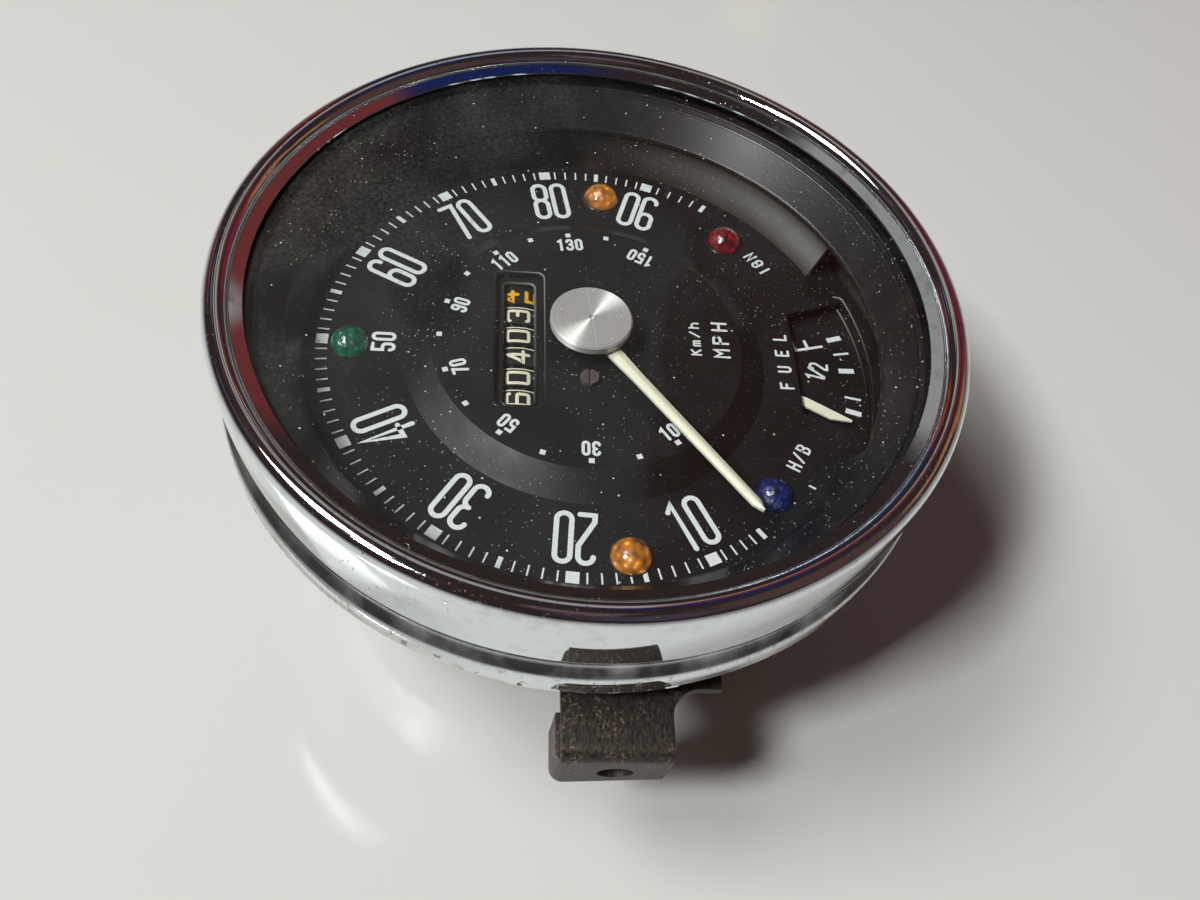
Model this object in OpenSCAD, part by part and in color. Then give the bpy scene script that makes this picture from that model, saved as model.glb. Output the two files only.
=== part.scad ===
// Magnetic speedometer with six-drum odometer, fuel gauge and five warning jewels.
// Z runs along the dial's axis towards the viewer, +Y is the top of the dial, and
// z = 0 is the plane that the cable boss and the lamp holders rest on.

/* [Body] */
// Height of the dial's printed face above the resting plane
dial_z = 58; // [57:0.5:60]
// Outside radius of the bezel's bead
bezel_r = 66.7; // [66.2:0.1:67.5]
// Radius of the opening that the glass shows through
opening_r = 60; // [59.5:0.1:60.4]
// Radius of the case in front of its shoulder
case_front_r = 62; // [61.8:0.1:62.1]
// Radius of the case just behind its shoulder
case_rear_r = 55; // [54:0.5:56]
// Radius of the case at the foot of its tapered wall
case_foot_r = 48; // [47:0.5:49]
// Thickness of the case's sheet steel
case_sheet = 0.8; // [0.6:0.1:1]
// Height of the case's back plate above the resting plane
case_back_z = 13; // [13:0.1:13.2]

/* [Glass] */
// Thickness of the glass
glass_t = 2; // [1.6:0.1:2]
// Radius of the glass
glass_r = 63.2; // [62.5:0.1:63.5]

/* [Dial] */
// Radius of the raised centre disc
disc_r = 29; // [28:0.5:30]
// Height of the raised centre disc above the dial's face
disc_h = 3.4; // [3:0.1:3.8]
// Radius where the disc's cone meets the dial's face
cone_r = 34; // [33:0.5:35]
// Diameter of each warning jewel
jewel_d = 7; // [6:0.5:8]

/* [Odometer] */
// Pitch from drum to drum
drum_pitch = 5; // [4.9:0.05:5]
// Radius of the drums
drum_r = 8.5; // [8.4:0.05:8.6]
// Distance of the drums' axis from the dial's centre
drum_y = 12.8; // [12.5:0.1:13]

/* [Pointer] */
// Length from the dial's centre to the pointer's tip
pointer_len = 47.7; // [44:0.5:48]
// Angle of the resting pointer, clockwise from the top of the dial
pointer_angle = -126; // [-130:1:-120]
// Radius of the hub cap
hub_r = 7.5; // [7:0.1:8]

/* [Bracket] */
// Reach of the brackets' bend from the dial's axis
bracket_reach = 73.7; // [72:0.1:76]
// Angle by which the brackets' turned-down ends are bent past square
bracket_over_bend = 8; // [0:1:10]
// Thickness of the brackets' steel
bracket_t = 1.6; // [1.5:0.1:2]
// Radius of the brackets' mounting hole
bracket_hole_r = 3.1; // [2.6:0.1:3.4]

/* [Drive] */
// Radius over the cable boss's thread
thread_r = 7.94; // [7.5:0.01:8]
// Side of the square socket that takes the cable's end
socket_side = 3.3; // [3.2:0.1:3.4]

/* [Hidden] */
$fn = 96;

// Small gap between parts that meet on curved faces
fit_gap = 0.05;
// Overlap that joins two shapes of one piece
weld = 0.2;
// Amount by which a cutter runs past the face it cuts
past = 1;
// Gap between a shaft and a part pressed onto it
snug = 0.02;
// A height on the page below the whole dial
below_dial_y = -60;

// Heights of the stacked front parts, all above the resting plane
bead_r = 2.35;
bead_z = dial_z + 17.4;
bezel_sheet = 0.8;
flange_edge_z = dial_z + 17;
gasket_t = 0.6;
glass_top_z = flange_edge_z - gasket_t;
glass_low_z = glass_top_z - glass_t;
surround_sheet = 0.8;
rim_r = 66.2;
rim_top_z = dial_z - 1.2;
rim_low_z = dial_z - 4.85;
case_in_r = case_front_r - case_sheet;
case_front_z = glass_low_z - surround_sheet;
shoulder_z = dial_z - 13;
clip_flange_r = 64.6;
clip_flange_z = rim_low_z + 0.85;
rivet_hole_r = 1.5;

// Dial
dial_sheet = 0.8;
dial_r = 57.5;
dial_low_z = dial_z - dial_sheet;
disc_z = dial_z + disc_h;
staff_hole_r = 1.6;
dial_screw_x = 9.3;
window_w = 32.7;
window_h = 9.4;
window_y = 12.7;
window_corner = 1.4;
window_floor = 1.2;
slot_w = 30;
slot_h = 6.6;

// Centres of the jewels and of the two dial lamps
green_at = [-0.5, 43.5];
left_amber_at = [-44, -6.3];
right_amber_at = [42.3, -4.3];
blue_at = [-30.7, -32.3];
red_at = [31.8, -29.5];
jewel_places = [green_at, left_amber_at, right_amber_at, blue_at, red_at];
dial_lamp_places = [[-29, 29], [29, 29]];
lamp_places = concat(jewel_places, dial_lamp_places);
jewel_r = jewel_d / 2;
tube_r = 6.2;
tube_wall = 0.5;
lamp_hole_r = 5.4;

// Fuel gauge: its needle turns about fuel_at and its face lies below the dial
fuel_at = [0, -21.6];
fuel_face_drop = 3;
fuel_rim_r = 55.1;
fuel_top_y = -40.3;
fuel_stud_places = [[-8, -31], [8, -31]];
fuel_stud_r = 2.08;
fuel_shank_r = 1.9;
fuel_nut_h = 2.8;
fuel_washer_t = 1.5;
fuel_pin_r = 0.6;
fuel_pin_len = 8;
fuel_plate_t = 0.8;
fuel_frame_z = dial_z - 14;
fuel_frame_t = 1.2;
needle_angle = -23.3;
needle_z = dial_z - 1.9;
needle_t = 0.4;
needle_len = 31;

// Movement
frame_r = 24;
frame_t = 1.2;
frame_top_z = case_back_z + case_sheet + frame_t;
pillar_x = 20;
pillar_r = 2.5;
bridge_z = 40;
bridge_t = 1.5;
bridge_top_z = bridge_z + bridge_t;
post_r = 2;
screw_places = [[17.3, 10], [-17.3, 10], [0, -20]];
bush_r = 5.2;
spindle_r = 3.2;
socket_depth = 12;
spindle_low_z = 5;
magnet_z = 32.5;
magnet_h = 5;
magnet_r = 9;
cup_r = 11;
cup_t = 0.6;
cup_top_z = magnet_z + magnet_h + 1.2;
flux_r = 13.2;
flux_in_r = 11.8;
staff_r = 0.75;
collet_r = 1.5;
spring_z = bridge_top_z + 2;
spring_h = 0.6;

// Worm on the spindle and its wheel on the cross shaft
worm_teeth = 22;
wheel_module = 0.6;
wheel_pitch_r = worm_teeth * wheel_module / 2;
worm_pitch_r = 3.7;
worm_crest = 0.55;
worm_lead = PI * wheel_module;
neck_relief = 0.1;
neck_r = worm_pitch_r - worm_crest - neck_relief;
worm_turns = 3;
shaft_y = worm_pitch_r + wheel_pitch_r;
shaft_z = 22.5;
shaft_r = 1.2;
left_cheek_x = -7;
right_cheek_x = 11;
cheek_t = 1.6;
eccentric_x = 15.4;
eccentric_w = 1.4;
eccentric_throw = 0.5;
eccentric_r = 1;

// Odometer drums, their carry pinions and the ratchet that drives them
drum_count = 6;
drum_z = dial_z + 1.4 - drum_r;
drum_left_x = -drum_pitch * drum_count / 2;
drum_gap = 0.1;
drum_shaft_r = 1.5;
ring_w = 0.85;
ring_teeth = 20;
ring_tip_r = 8.3;
ring_root_r = 7.3;
pinion_teeth = 8;
pinion_tip_r = 3.7;
pinion_root_r = 2.6;
pinion_offset = 11.2;
pinion_shaft_r = 1;
ratchet_x = 15.4;
ratchet_w = 1;
ratchet_teeth = 64;
ratchet_tip_r = 8;
ratchet_root_r = 7.6;
odo_left_x = -16.2;
odo_right_x = 18.6;
odo_sheet = 0.8;
rocker_z = 34;
rocker_pin_r = 1.2;
shaft_over = 0.6;
gear_root_share = 0.42;

// Point on the dial at a radius and an angle clockwise from the top
function dial_point(radius, angle) = [radius * sin(angle), radius * cos(angle)];

// Points of an arc about a centre, from one angle to another
function arc(centre, radius, from, to, steps) =
    [for (i = [0 : steps]) let (a = from + (to - from) * i / steps)
        centre + radius * [cos(a), sin(a)]];

// Outline of a gear whose teeth narrow towards their tips
function gear_points(teeth, tip_r, root_r, tip_share, root_share) =
    [for (i = [0 : teeth - 1])
        for (corner = [[-root_share, root_r], [-tip_share, tip_r],
                       [tip_share, tip_r], [root_share, root_r]])
            let (a = (i + corner[0] / 2) * 360 / teeth)
                corner[1] * [cos(a), sin(a)]];

// Ring or disc between two heights
module ring(outer, inner, low, high) {
    translate([0, 0, low])
        difference() {
            cylinder(r = outer, h = high - low);
            if (inner > 0)
                translate([0, 0, -past])
                    cylinder(r = inner, h = high - low + 2 * past);
        }
}

// Flat rectangle with round corners, centred on its own middle
module rounded_rect(width, height, corner) {
    square([width - 2 * corner, height], center = true);
    square([width, height - 2 * corner], center = true);
    for (x = [-1, 1])
        for (y = [-1, 1])
            translate([x * (width / 2 - corner), y * (height / 2 - corner)])
                circle(r = corner);
}

// Places its children at each point of a list
module at_each(places) {
    for (p = places)
        translate([p[0], p[1], 0])
            children();
}

// Cylinder along X that starts at the given place
module bar_x(start, radius, width) {
    translate(start)
        rotate([0, 90, 0])
            cylinder(r = radius, h = width);
}

// Chromed ring: rolled bead, sloping flange, curved skirt, groove and rear rim with clip tabs
module bezel() {
    bead_at = [bezel_r - bead_r, bead_z];
    bead_from = 160;
    bead_in_from = 20;
    bead_steps = 16;
    waist = [65.5, dial_z + 3.5];
    hollow = [64.9, dial_z + 2.3];
    groove = [64.7, dial_z + 1.5];
    flange_in = [62.1, dial_z + 17.85];
    flange_edge_t = 0.3;
    skirt_steps = 8;
    tab_t = 0.75;
    tab_in_r = 62.7;
    tab_angle = 24;
    function skirt(t, off) =
        [waist[0] + (bezel_r - waist[0]) * sin(90 * t) - off, waist[1] + (bead_z - waist[1]) * t];
    color([0.78, 0.78, 0.8]) {
        rotate_extrude()
            polygon(concat(
                [[opening_r, flange_edge_z], [opening_r, flange_edge_z + flange_edge_t], flange_in],
                arc(bead_at, bead_r, bead_from, 0, bead_steps),
                [for (i = [1 : skirt_steps]) skirt(1 - i / skirt_steps, 0)],
                [hollow, groove, [rim_r, rim_top_z], [rim_r, rim_low_z],
                 [rim_r - bezel_sheet, rim_low_z], [rim_r - bezel_sheet, rim_top_z],
                 groove - [bezel_sheet, 0], hollow - [bezel_sheet, 0]],
                [for (i = [0 : skirt_steps]) skirt(i / skirt_steps, bezel_sheet)],
                arc(bead_at, bead_r - bezel_sheet, bead_in_from, bead_from, bead_steps / 2),
                [[flange_in[0], flange_edge_z]]));
        for (side = [180, 60, -60])
            rotate([0, 0, side - tab_angle / 2])
                translate([0, 0, rim_low_z - tab_t])
                    rotate_extrude(angle = tab_angle)
                        polygon([[tab_in_r, 0], [rim_r, 0], [rim_r, tab_t + weld],
                                 [rim_r - bezel_sheet, tab_t + weld],
                                 [rim_r - bezel_sheet, tab_t], [tab_in_r, tab_t]]);
    }
}

// Flat round window
module glass() {
    color([0.8, 0.9, 0.9, 0.3])
        ring(glass_r, 0, glass_low_z, glass_top_z);
}

// Rubber ring between the glass and the bezel's flange
module glass_gasket() {
    gasket_in_r = opening_r + 0.35;
    gasket_out_r = opening_r + 1.6;
    color([0.08, 0.08, 0.08])
        ring(gasket_out_r, gasket_in_r, glass_top_z, flange_edge_z);
}

// Black ring that leads from the dial up to the glass: ramp, rolled nose, slope and beaded
// lip. The ramp is cut back over the fuel gauge.
module surround() {
    foot = [51.3, 0];
    ramp_top = [54.5, 6.8];
    nose_at = [54.8, 7.6];
    nose_r = 0.8;
    edge_r = 0.35;
    lip_at = [58.9, 13.1];
    top_h = glass_low_z - dial_z;
    edge_at = [60, top_h - edge_r];
    flange_out = 63;
    back_high = [61.1, top_h - surround_sheet];
    back_lip = [59.5, 13];
    back_nose = [55.5, 7];
    wall = 0.9;
    fuel_cut_angle = 54;
    cut_h = 6.9;
    color([0.09, 0.09, 0.09])
        difference() {
            translate([0, 0, dial_z])
                rotate_extrude()
                    polygon(concat([foot, ramp_top],
                        arc(nose_at, nose_r, 235, 115, 8), arc(lip_at, edge_r, 170, 40, 5),
                        arc(edge_at, edge_r, 190, 90, 5),
                        [[flange_out, top_h], [flange_out, top_h - surround_sheet],
                         back_high, back_lip, back_nose, foot + [wall, 0]]));
            translate([0, 0, dial_z - past])
                rotate([0, 0, -90 - fuel_cut_angle / 2])
                    rotate_extrude(angle = fuel_cut_angle)
                        square([fuel_rim_r, cut_h + past]);
        }
}

// Flat outline of the fuel gauge's window
module fuel_window() {
    top_half_w = 12.5;
    low_half_w = 16.8;
    low_y = -52.4;
    intersection() {
        circle(r = fuel_rim_r);
        polygon([[-top_half_w, fuel_top_y], [top_half_w, fuel_top_y],
                 [low_half_w, low_y], [low_half_w, below_dial_y],
                 [-low_half_w, below_dial_y],
                 [-low_half_w, low_y]]);
    }
}

// Pressed dial with its raised disc, stepped odometer window, fuel window and holes
module dial_plate() {
    tray_wall = 0.6;
    fold_in = 0.3;
    jewel_hole_r = jewel_r + fit_gap;
    screw_hole_r = 1.3;
    color([0.05, 0.05, 0.055]) {
        difference() {
            translate([0, 0, dial_z])
                rotate_extrude()
                    polygon([[staff_hole_r, disc_h], [disc_r, disc_h], [cone_r, 0],
                             [dial_r, 0], [dial_r, -dial_sheet],
                             [cone_r - fold_in, -dial_sheet],
                             [disc_r - fold_in, disc_h - dial_sheet],
                             [staff_hole_r, disc_h - dial_sheet]]);
            at_each(jewel_places)
                translate([0, 0, dial_low_z - past])
                    cylinder(r = jewel_hole_r, h = dial_sheet + 2 * past);
            at_each([[-dial_screw_x, 0], [dial_screw_x, 0]])
                translate([0, 0, dial_z])
                    cylinder(r = screw_hole_r, h = disc_h + past);
            translate([0, window_y, dial_z])
                linear_extrude(disc_h + past)
                    rounded_rect(window_w, window_h, window_corner);
            translate([0, 0, dial_low_z - past])
                linear_extrude(dial_sheet + 2 * past)
                    fuel_window();
        }
        translate([0, window_y, disc_z - window_floor - tray_wall])
            difference() {
                linear_extrude(window_floor + tray_wall)
                    rounded_rect(window_w + weld, window_h + weld, window_corner);
                translate([0, 0, tray_wall])
                    linear_extrude(window_floor + past)
                        rounded_rect(window_w - tray_wall, window_h - tray_wall, window_corner);
                translate([0, 0, -past])
                    linear_extrude(window_floor + 2 * past)
                        rounded_rect(slot_w, slot_h, window_corner);
            }
    }
}

// Two slotted screws through the dial into the bridge's posts
module dial_screws() {
    head_r = 1.7;
    head_h = 0.9;
    shank_r = 1;
    shank_h = 3;
    slot = 0.5;
    color([0.25, 0.2, 0.25])
        at_each([[-dial_screw_x, 0], [dial_screw_x, 0]])
            translate([0, 0, disc_z])
                difference() {
                    union() {
                        cylinder(r = head_r, h = head_h);
                        translate([0, 0, -shank_h])
                            cylinder(r = shank_r, h = shank_h + weld);
                    }
                    translate([-head_r - past, -slot / 2, head_h / 2])
                        cube([2 * (head_r + past), slot, head_h]);
                }
}

// Domed lens with a shank through the dial and a flange behind it
module jewel(place, tint) {
    dome_h = 2.7;
    dome_curve_r = (jewel_r * jewel_r + dome_h * dome_h) / (2 * dome_h);
    flange_r = 4.6;
    flange_t = 1;
    collar_h = 0.1;
    dome_span = asin(jewel_r / dome_curve_r);
    dome_steps = 8;
    color(tint)
        translate([place[0], place[1], dial_z])
            rotate_extrude()
                polygon(concat(
                    [[0, -dial_sheet - flange_t], [flange_r, -dial_sheet - flange_t],
                     [flange_r, -dial_sheet - fit_gap], [jewel_r, -dial_sheet - fit_gap]],
                    [for (p = arc([0, dome_h - dome_curve_r], dome_curve_r,
                                  90 - dome_span, 90, dome_steps))
                        [max(p[0], 0), p[1] + collar_h]]));
}

module green_jewel() { jewel(green_at, [0, 0.5, 0.35]); }
module left_amber_jewel() { jewel(left_amber_at, [0.8, 0.4, 0.1]); }
module right_amber_jewel() { jewel(right_amber_at, [0.8, 0.4, 0.1]); }
module blue_jewel() { jewel(blue_at, [0.08, 0.15, 0.6]); }
module red_jewel() { jewel(red_at, [0.75, 0.05, 0.15]); }

// Five tubes that keep each warning lamp's light to its own jewel
module light_tubes() {
    low = case_back_z + case_sheet;
    high = dial_low_z - 0.1;
    color([0.85, 0.85, 0.8])
        at_each(jewel_places)
            ring(tube_r, tube_r - tube_wall, low, high);
}

// Drawn steel can: front wall, shoulder, tapered rear wall with a lobe round each
// lamp, and back plate with its holes
module case() {
    corner = 2;
    bevel_in = 0.4;
    mouth_r = 63;
    lobe_r = 8.2;
    lobe_top_z = shoulder_z - 7;
    boss_hole_r = 8.2;
    stud_hole_r = 3.4;
    screw_hole_r = 1.8;
    color([0.62, 0.62, 0.6])
        difference() {
            union() {
                rotate_extrude()
                    polygon([[0, case_back_z], [case_foot_r - corner, case_back_z],
                             [case_foot_r, case_back_z + corner], [case_rear_r, shoulder_z],
                             [case_front_r, shoulder_z], [case_front_r, clip_flange_z],
                             [clip_flange_r, clip_flange_z],
                             [clip_flange_r, clip_flange_z + case_sheet],
                             [case_front_r, clip_flange_z + case_sheet],
                             [case_front_r, case_front_z - case_sheet],
                             [mouth_r, case_front_z - case_sheet], [mouth_r, case_front_z],
                             [0, case_front_z]]);
                at_each(lamp_places)
                    ring(lobe_r, 0, case_back_z, lobe_top_z);
            }
            rotate_extrude()
                polygon([[0, case_back_z + case_sheet],
                         [case_foot_r - corner - bevel_in, case_back_z + case_sheet],
                         [case_foot_r - case_sheet, case_back_z + corner + bevel_in],
                         [case_rear_r - case_sheet, shoulder_z + case_sheet],
                         [case_in_r, shoulder_z + case_sheet], [case_in_r, case_front_z + past],
                         [0, case_front_z + past]]);
            at_each(lamp_places)
                ring(lobe_r - case_sheet, 0, case_back_z + case_sheet, lobe_top_z);
            at_each(lamp_places)
                translate([0, 0, case_back_z - past])
                    cylinder(r = lamp_hole_r, h = case_sheet + 2 * past);
            at_each(fuel_stud_places)
                translate([0, 0, case_back_z - past])
                    cylinder(r = stud_hole_r, h = case_sheet + 2 * past);
            at_each(screw_places)
                translate([0, 0, case_back_z - past])
                    cylinder(r = screw_hole_r, h = case_sheet + 2 * past);
            at_each(rivet_places())
                translate([0, 0, shoulder_z - past])
                    cylinder(r = rivet_hole_r, h = case_sheet + 2 * past);
            translate([0, 0, case_back_z - past])
                cylinder(r = boss_hole_r, h = case_sheet + 2 * past);
        }
}

// Rubber ring between the case's clip flange and the bezel's tabs
module case_gasket() {
    color([0.08, 0.08, 0.08])
        ring(clip_flange_r, case_front_r + 0.1, rim_low_z, clip_flange_z);
}

// Places of the four rivets, two on each bracket
function rivet_places() =
    let (line_r = 58.6, near = -91, far = -104)
        [dial_point(line_r, near), dial_point(line_r, far),
         dial_point(line_r, near + 180), dial_point(line_r, far + 180)];

// Bracket at the dial's left: tongue, turned-down end with its hole, and folded lug
module left_bracket() {
    top_y = 4.5;
    low_y = -14.2;
    root_low_y = -22.8;
    root_x = 61.7;
    blend_r = 5;
    clear_r = case_rear_r + 0.4;
    bend_r = bracket_t + 0.8;
    end_drop = 13.8;
    lug_drop = 16.6;
    hole_y = -5.4;
    hole_drop = 9.4;
    lug_len = 8.4;
    bend_x = -bracket_reach + bend_r;
    bend_z = shoulder_z - bend_r;
    side_w = 17;
    lug_top = -0.6;
    lug_low = bend_r - lug_drop;
    module past_square() {
        translate([bend_x, low_y, bend_z])
            rotate([0, -bracket_over_bend, 0])
                children();
    }
    color([0.3, 0.27, 0.24]) {
        difference() {
            translate([0, 0, shoulder_z - bracket_t])
                linear_extrude(bracket_t)
                    difference() {
                        union() {
                            translate([bend_x, low_y])
                                square([-bend_x, top_y - low_y]);
                            translate([-root_x, root_low_y])
                                square([root_x, top_y - root_low_y]);
                            translate([-root_x - blend_r, low_y - blend_r])
                                square([blend_r + weld, blend_r + weld]);
                        }
                        translate([-root_x - blend_r, low_y - blend_r])
                            circle(r = blend_r);
                        circle(r = clear_r);
                        square([2 * clear_r, 4 * clear_r], center = true);
                    }
            at_each(rivet_places())
                translate([0, 0, shoulder_z - bracket_t - past])
                    cylinder(r = rivet_hole_r, h = bracket_t + 2 * past);
        }
        translate([bend_x, top_y, bend_z])
            rotate([90, 0, 0])
                rotate([0, 0, 90])
                    rotate_extrude(angle = 90 + bracket_over_bend)
                        translate([bend_r - bracket_t, 0])
                            square([bracket_t, top_y - low_y]);
        past_square() {
            difference() {
                translate([-bend_r, 0, 0])
                    rotate([90, 0, 90])
                        linear_extrude(bracket_t)
                            polygon([[0, 0], [side_w, 0], [side_w, lug_low], [0, bend_r - end_drop]]);
                translate([-bend_r - past, hole_y - low_y, bend_r - hole_drop])
                    rotate([0, 90, 0])
                        cylinder(r = bracket_hole_r, h = bracket_t + 2 * past);
            }
            translate([0, side_w, lug_low])
                rotate([0, 0, 90])
                    rotate_extrude(angle = 90)
                        translate([bend_r - bracket_t, 0])
                            square([bracket_t, lug_top - lug_low]);
            translate([0, side_w + bend_r - bracket_t, lug_low])
                cube([lug_len - bend_r, bracket_t, lug_top - lug_low]);
        }
    }
}

// Hidden twin of the left bracket
module right_bracket() {
    rotate([0, 0, 180])
        left_bracket();
}

// Four rivets that hold the brackets under the case's shoulder
module bracket_rivets() {
    shank_r = 1.45;
    head_r = 2.6;
    head_top_r = 1.8;
    head_h = 1;
    inner_head_r = 2.2;
    inner_head_h = 0.8;
    color([0.5, 0.48, 0.45])
        at_each(rivet_places()) {
            translate([0, 0, shoulder_z - bracket_t - weld])
                cylinder(r = shank_r, h = bracket_t + case_sheet + 2 * weld);
            translate([0, 0, shoulder_z - bracket_t - head_h])
                cylinder(r1 = head_top_r, r2 = head_r, h = head_h);
            translate([0, 0, shoulder_z + case_sheet])
                cylinder(r = inner_head_r, h = inner_head_h);
        }
}

// Threaded neck for the drive cable, with a flange and a spigot through the case
module cable_boss() {
    flange_r = 12;
    flange_t = 2;
    spigot_r = 8;
    ferrule_r = 5.6;
    ferrule_depth = 4;
    chamfer = 0.8;
    color([0.72, 0.62, 0.38])
        difference() {
            rotate_extrude()
                polygon([[0, 0], [thread_r - chamfer, 0], [thread_r, chamfer],
                         [thread_r, case_back_z - flange_t],
                         [flange_r, case_back_z - flange_t], [flange_r, case_back_z],
                         [spigot_r, case_back_z], [spigot_r, frame_top_z],
                         [0, frame_top_z]]);
            translate([0, 0, -past])
                cylinder(r = bush_r + fit_gap, h = frame_top_z + 2 * past);
            translate([0, 0, -past])
                cylinder(r = ferrule_r, h = ferrule_depth + past);
        }
}

// Plain bearing pressed into the boss
module spindle_bush() {
    low = 4.5;
    color([0.7, 0.5, 0.3])
        ring(bush_r, spindle_r + fit_gap, low, frame_top_z);
}

// Seven push-in lamp holders, each with a flange, a cap and a round terminal
module lamp_holders() {
    flange_r = 7.8;
    flange_z = 11.6;
    cap_r = 5.2;
    cap_z = 3;
    terminal_r = 2.2;
    sleeve_r = 5.3;
    sleeve_in_r = 4.6;
    sleeve_high = 20;
    floor_z = 14.2;
    color([0.15, 0.15, 0.15])
        at_each(lamp_places)
            rotate_extrude()
                polygon([[0, 0], [terminal_r, 0], [terminal_r, cap_z], [cap_r, cap_z],
                         [cap_r, flange_z], [flange_r, flange_z], [flange_r, case_back_z],
                         [sleeve_r, case_back_z], [sleeve_r, sleeve_high],
                         [sleeve_in_r, sleeve_high], [sleeve_in_r, floor_z], [0, floor_z]]);
}

// Seven small bulbs
module bulbs() {
    foot_z = 14.3;
    cap_r = 4.5;
    cap_high = 21;
    neck_h = 0.6;
    globe_r = 5;
    globe_neck_r = 3.6;
    globe_rise = 4.6;
    globe_from = -40;
    globe_steps = 10;
    color([0.9, 0.9, 0.8])
        at_each(lamp_places)
            rotate_extrude()
                polygon(concat([[0, foot_z], [cap_r, foot_z], [cap_r, cap_high],
                                [globe_neck_r, cap_high + neck_h]],
                               [for (p = arc([0, cap_high + globe_rise], globe_r,
                                             globe_from, 90, globe_steps))
                                   [max(p[0], 0), p[1]]]));
}

// Place and size of the voltage stabiliser on the case's back
stabiliser_low = [-34, -16, 4];
stabiliser_size = [20, 21, 9];
stabiliser_inset = 0.8;

// Sheet can of the voltage stabiliser, with its base flange
module stabiliser_can() {
    corner = 1.5;
    base_t = 0.8;
    color([0.7, 0.7, 0.68]) {
        translate([stabiliser_low[0] + stabiliser_size[0] / 2,
                   stabiliser_low[1] + stabiliser_size[1] / 2, stabiliser_low[2]])
            linear_extrude(stabiliser_size[2] - base_t + weld)
                rounded_rect(stabiliser_size[0] - 2 * stabiliser_inset,
                             stabiliser_size[1] - 2 * stabiliser_inset, corner);
        translate([stabiliser_low[0], stabiliser_low[1], case_back_z - base_t])
            cube([stabiliser_size[0], stabiliser_size[1], base_t]);
    }
}

// Two flat push-on terminals of the stabiliser
module stabiliser_blades() {
    blade_w = 6.3;
    blade_t = 0.8;
    blade_len = 8;
    blade_z = 7;
    blade_places_x = [-32.2, -22];
    hole_from_end = 2.5;
    hole_r = 0.8;
    color([0.75, 0.65, 0.35])
        for (x = blade_places_x)
            translate([x, stabiliser_low[1] + stabiliser_inset - blade_len, blade_z])
                difference() {
                    cube([blade_w, blade_len, blade_t]);
                    translate([blade_w / 2, hole_from_end, -past])
                        cylinder(r = hole_r, h = blade_t + 2 * past);
                }
}

// Two studs that feed the fuel gauge: the free thread is drawn over its crests,
// and the rest at the width of the rolled thread's shank
module fuel_studs() {
    thread_len = 5;
    thread_z = case_back_z - fuel_washer_t - fuel_nut_h - weld;
    color([0.75, 0.65, 0.35])
        at_each(fuel_stud_places) {
            ring(fuel_stud_r, 0, thread_z - thread_len, thread_z);
            ring(fuel_shank_r, 0, thread_z - weld, fuel_frame_z);
        }
}

// Insulating washers inside and outside the case's back
module fuel_insulators() {
    washer_r = 5;
    washer_t = fuel_washer_t;
    spigot_r = 3.3;
    color([0.5, 0.3, 0.18])
        at_each(fuel_stud_places)
            difference() {
                union() {
                    ring(washer_r, 0, case_back_z - washer_t, case_back_z);
                    ring(spigot_r, 0, case_back_z - weld, case_back_z + case_sheet + weld);
                    ring(washer_r, 0, case_back_z + case_sheet,
                         case_back_z + case_sheet + washer_t);
                }
                translate([0, 0, case_back_z - washer_t - past])
                    cylinder(r = fuel_stud_r + fit_gap, h = 2 * washer_t + case_sheet + 2 * past);
            }
}

// Hexagon nuts on the fuel gauge's studs
module fuel_nuts() {
    across_corners_r = 4.2;
    low = case_back_z - fuel_washer_t - fuel_nut_h;
    color([0.75, 0.65, 0.35])
        at_each(fuel_stud_places)
            translate([0, 0, low])
                difference() {
                    cylinder(r = across_corners_r, h = fuel_nut_h, $fn = 6);
                    translate([0, 0, -past])
                        cylinder(r = fuel_shank_r + fit_gap, h = fuel_nut_h + 2 * past, $fn = 96);
                }
}

// Three screws that hold the movement to the case's back
module movement_screws() {
    head_r = 3.2;
    head_h = 1.8;
    shank_r = 1.7;
    slot = 0.8;
    slot_depth = 0.8;
    color([0.6, 0.6, 0.58])
        at_each(screw_places)
            difference() {
                union() {
                    ring(head_r, 0, case_back_z - head_h, case_back_z);
                    ring(shank_r, 0, case_back_z - weld, frame_top_z);
                }
                translate([-head_r - past, -slot / 2, case_back_z - head_h - past])
                    cube([2 * (head_r + past), slot, past + slot_depth]);
            }
}

// Base plate of the movement with two cheeks that carry the cross shaft
module movement_frame() {
    cheek_w = 8;
    cheek_top_z = shaft_z + 3;
    boss_clear_r = 8.1;
    screw_clear_r = 1.75;
    low = case_back_z + case_sheet;
    color([0.6, 0.6, 0.62])
        difference() {
            union() {
                ring(frame_r, 0, low, frame_top_z);
                for (x = [left_cheek_x, right_cheek_x])
                    translate([x, shaft_y - cheek_w / 2, low])
                        cube([cheek_t, cheek_w, cheek_top_z - low]);
            }
            translate([0, 0, low - past])
                cylinder(r = boss_clear_r, h = frame_t + 2 * past);
            at_each(screw_places)
                translate([0, 0, low - past])
                    cylinder(r = screw_clear_r, h = frame_t + 2 * past);
            translate([left_cheek_x - past, shaft_y, shaft_z])
                rotate([0, 90, 0])
                    cylinder(r = shaft_r + fit_gap,
                             h = right_cheek_x - left_cheek_x + cheek_t + 2 * past);
        }
}

// Two pillars between the base plate and the bridge
module frame_pillars() {
    color([0.7, 0.65, 0.45])
        at_each([[-pillar_x, 0], [pillar_x, 0]])
            ring(pillar_r, 0, frame_top_z, bridge_z);
}

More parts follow.
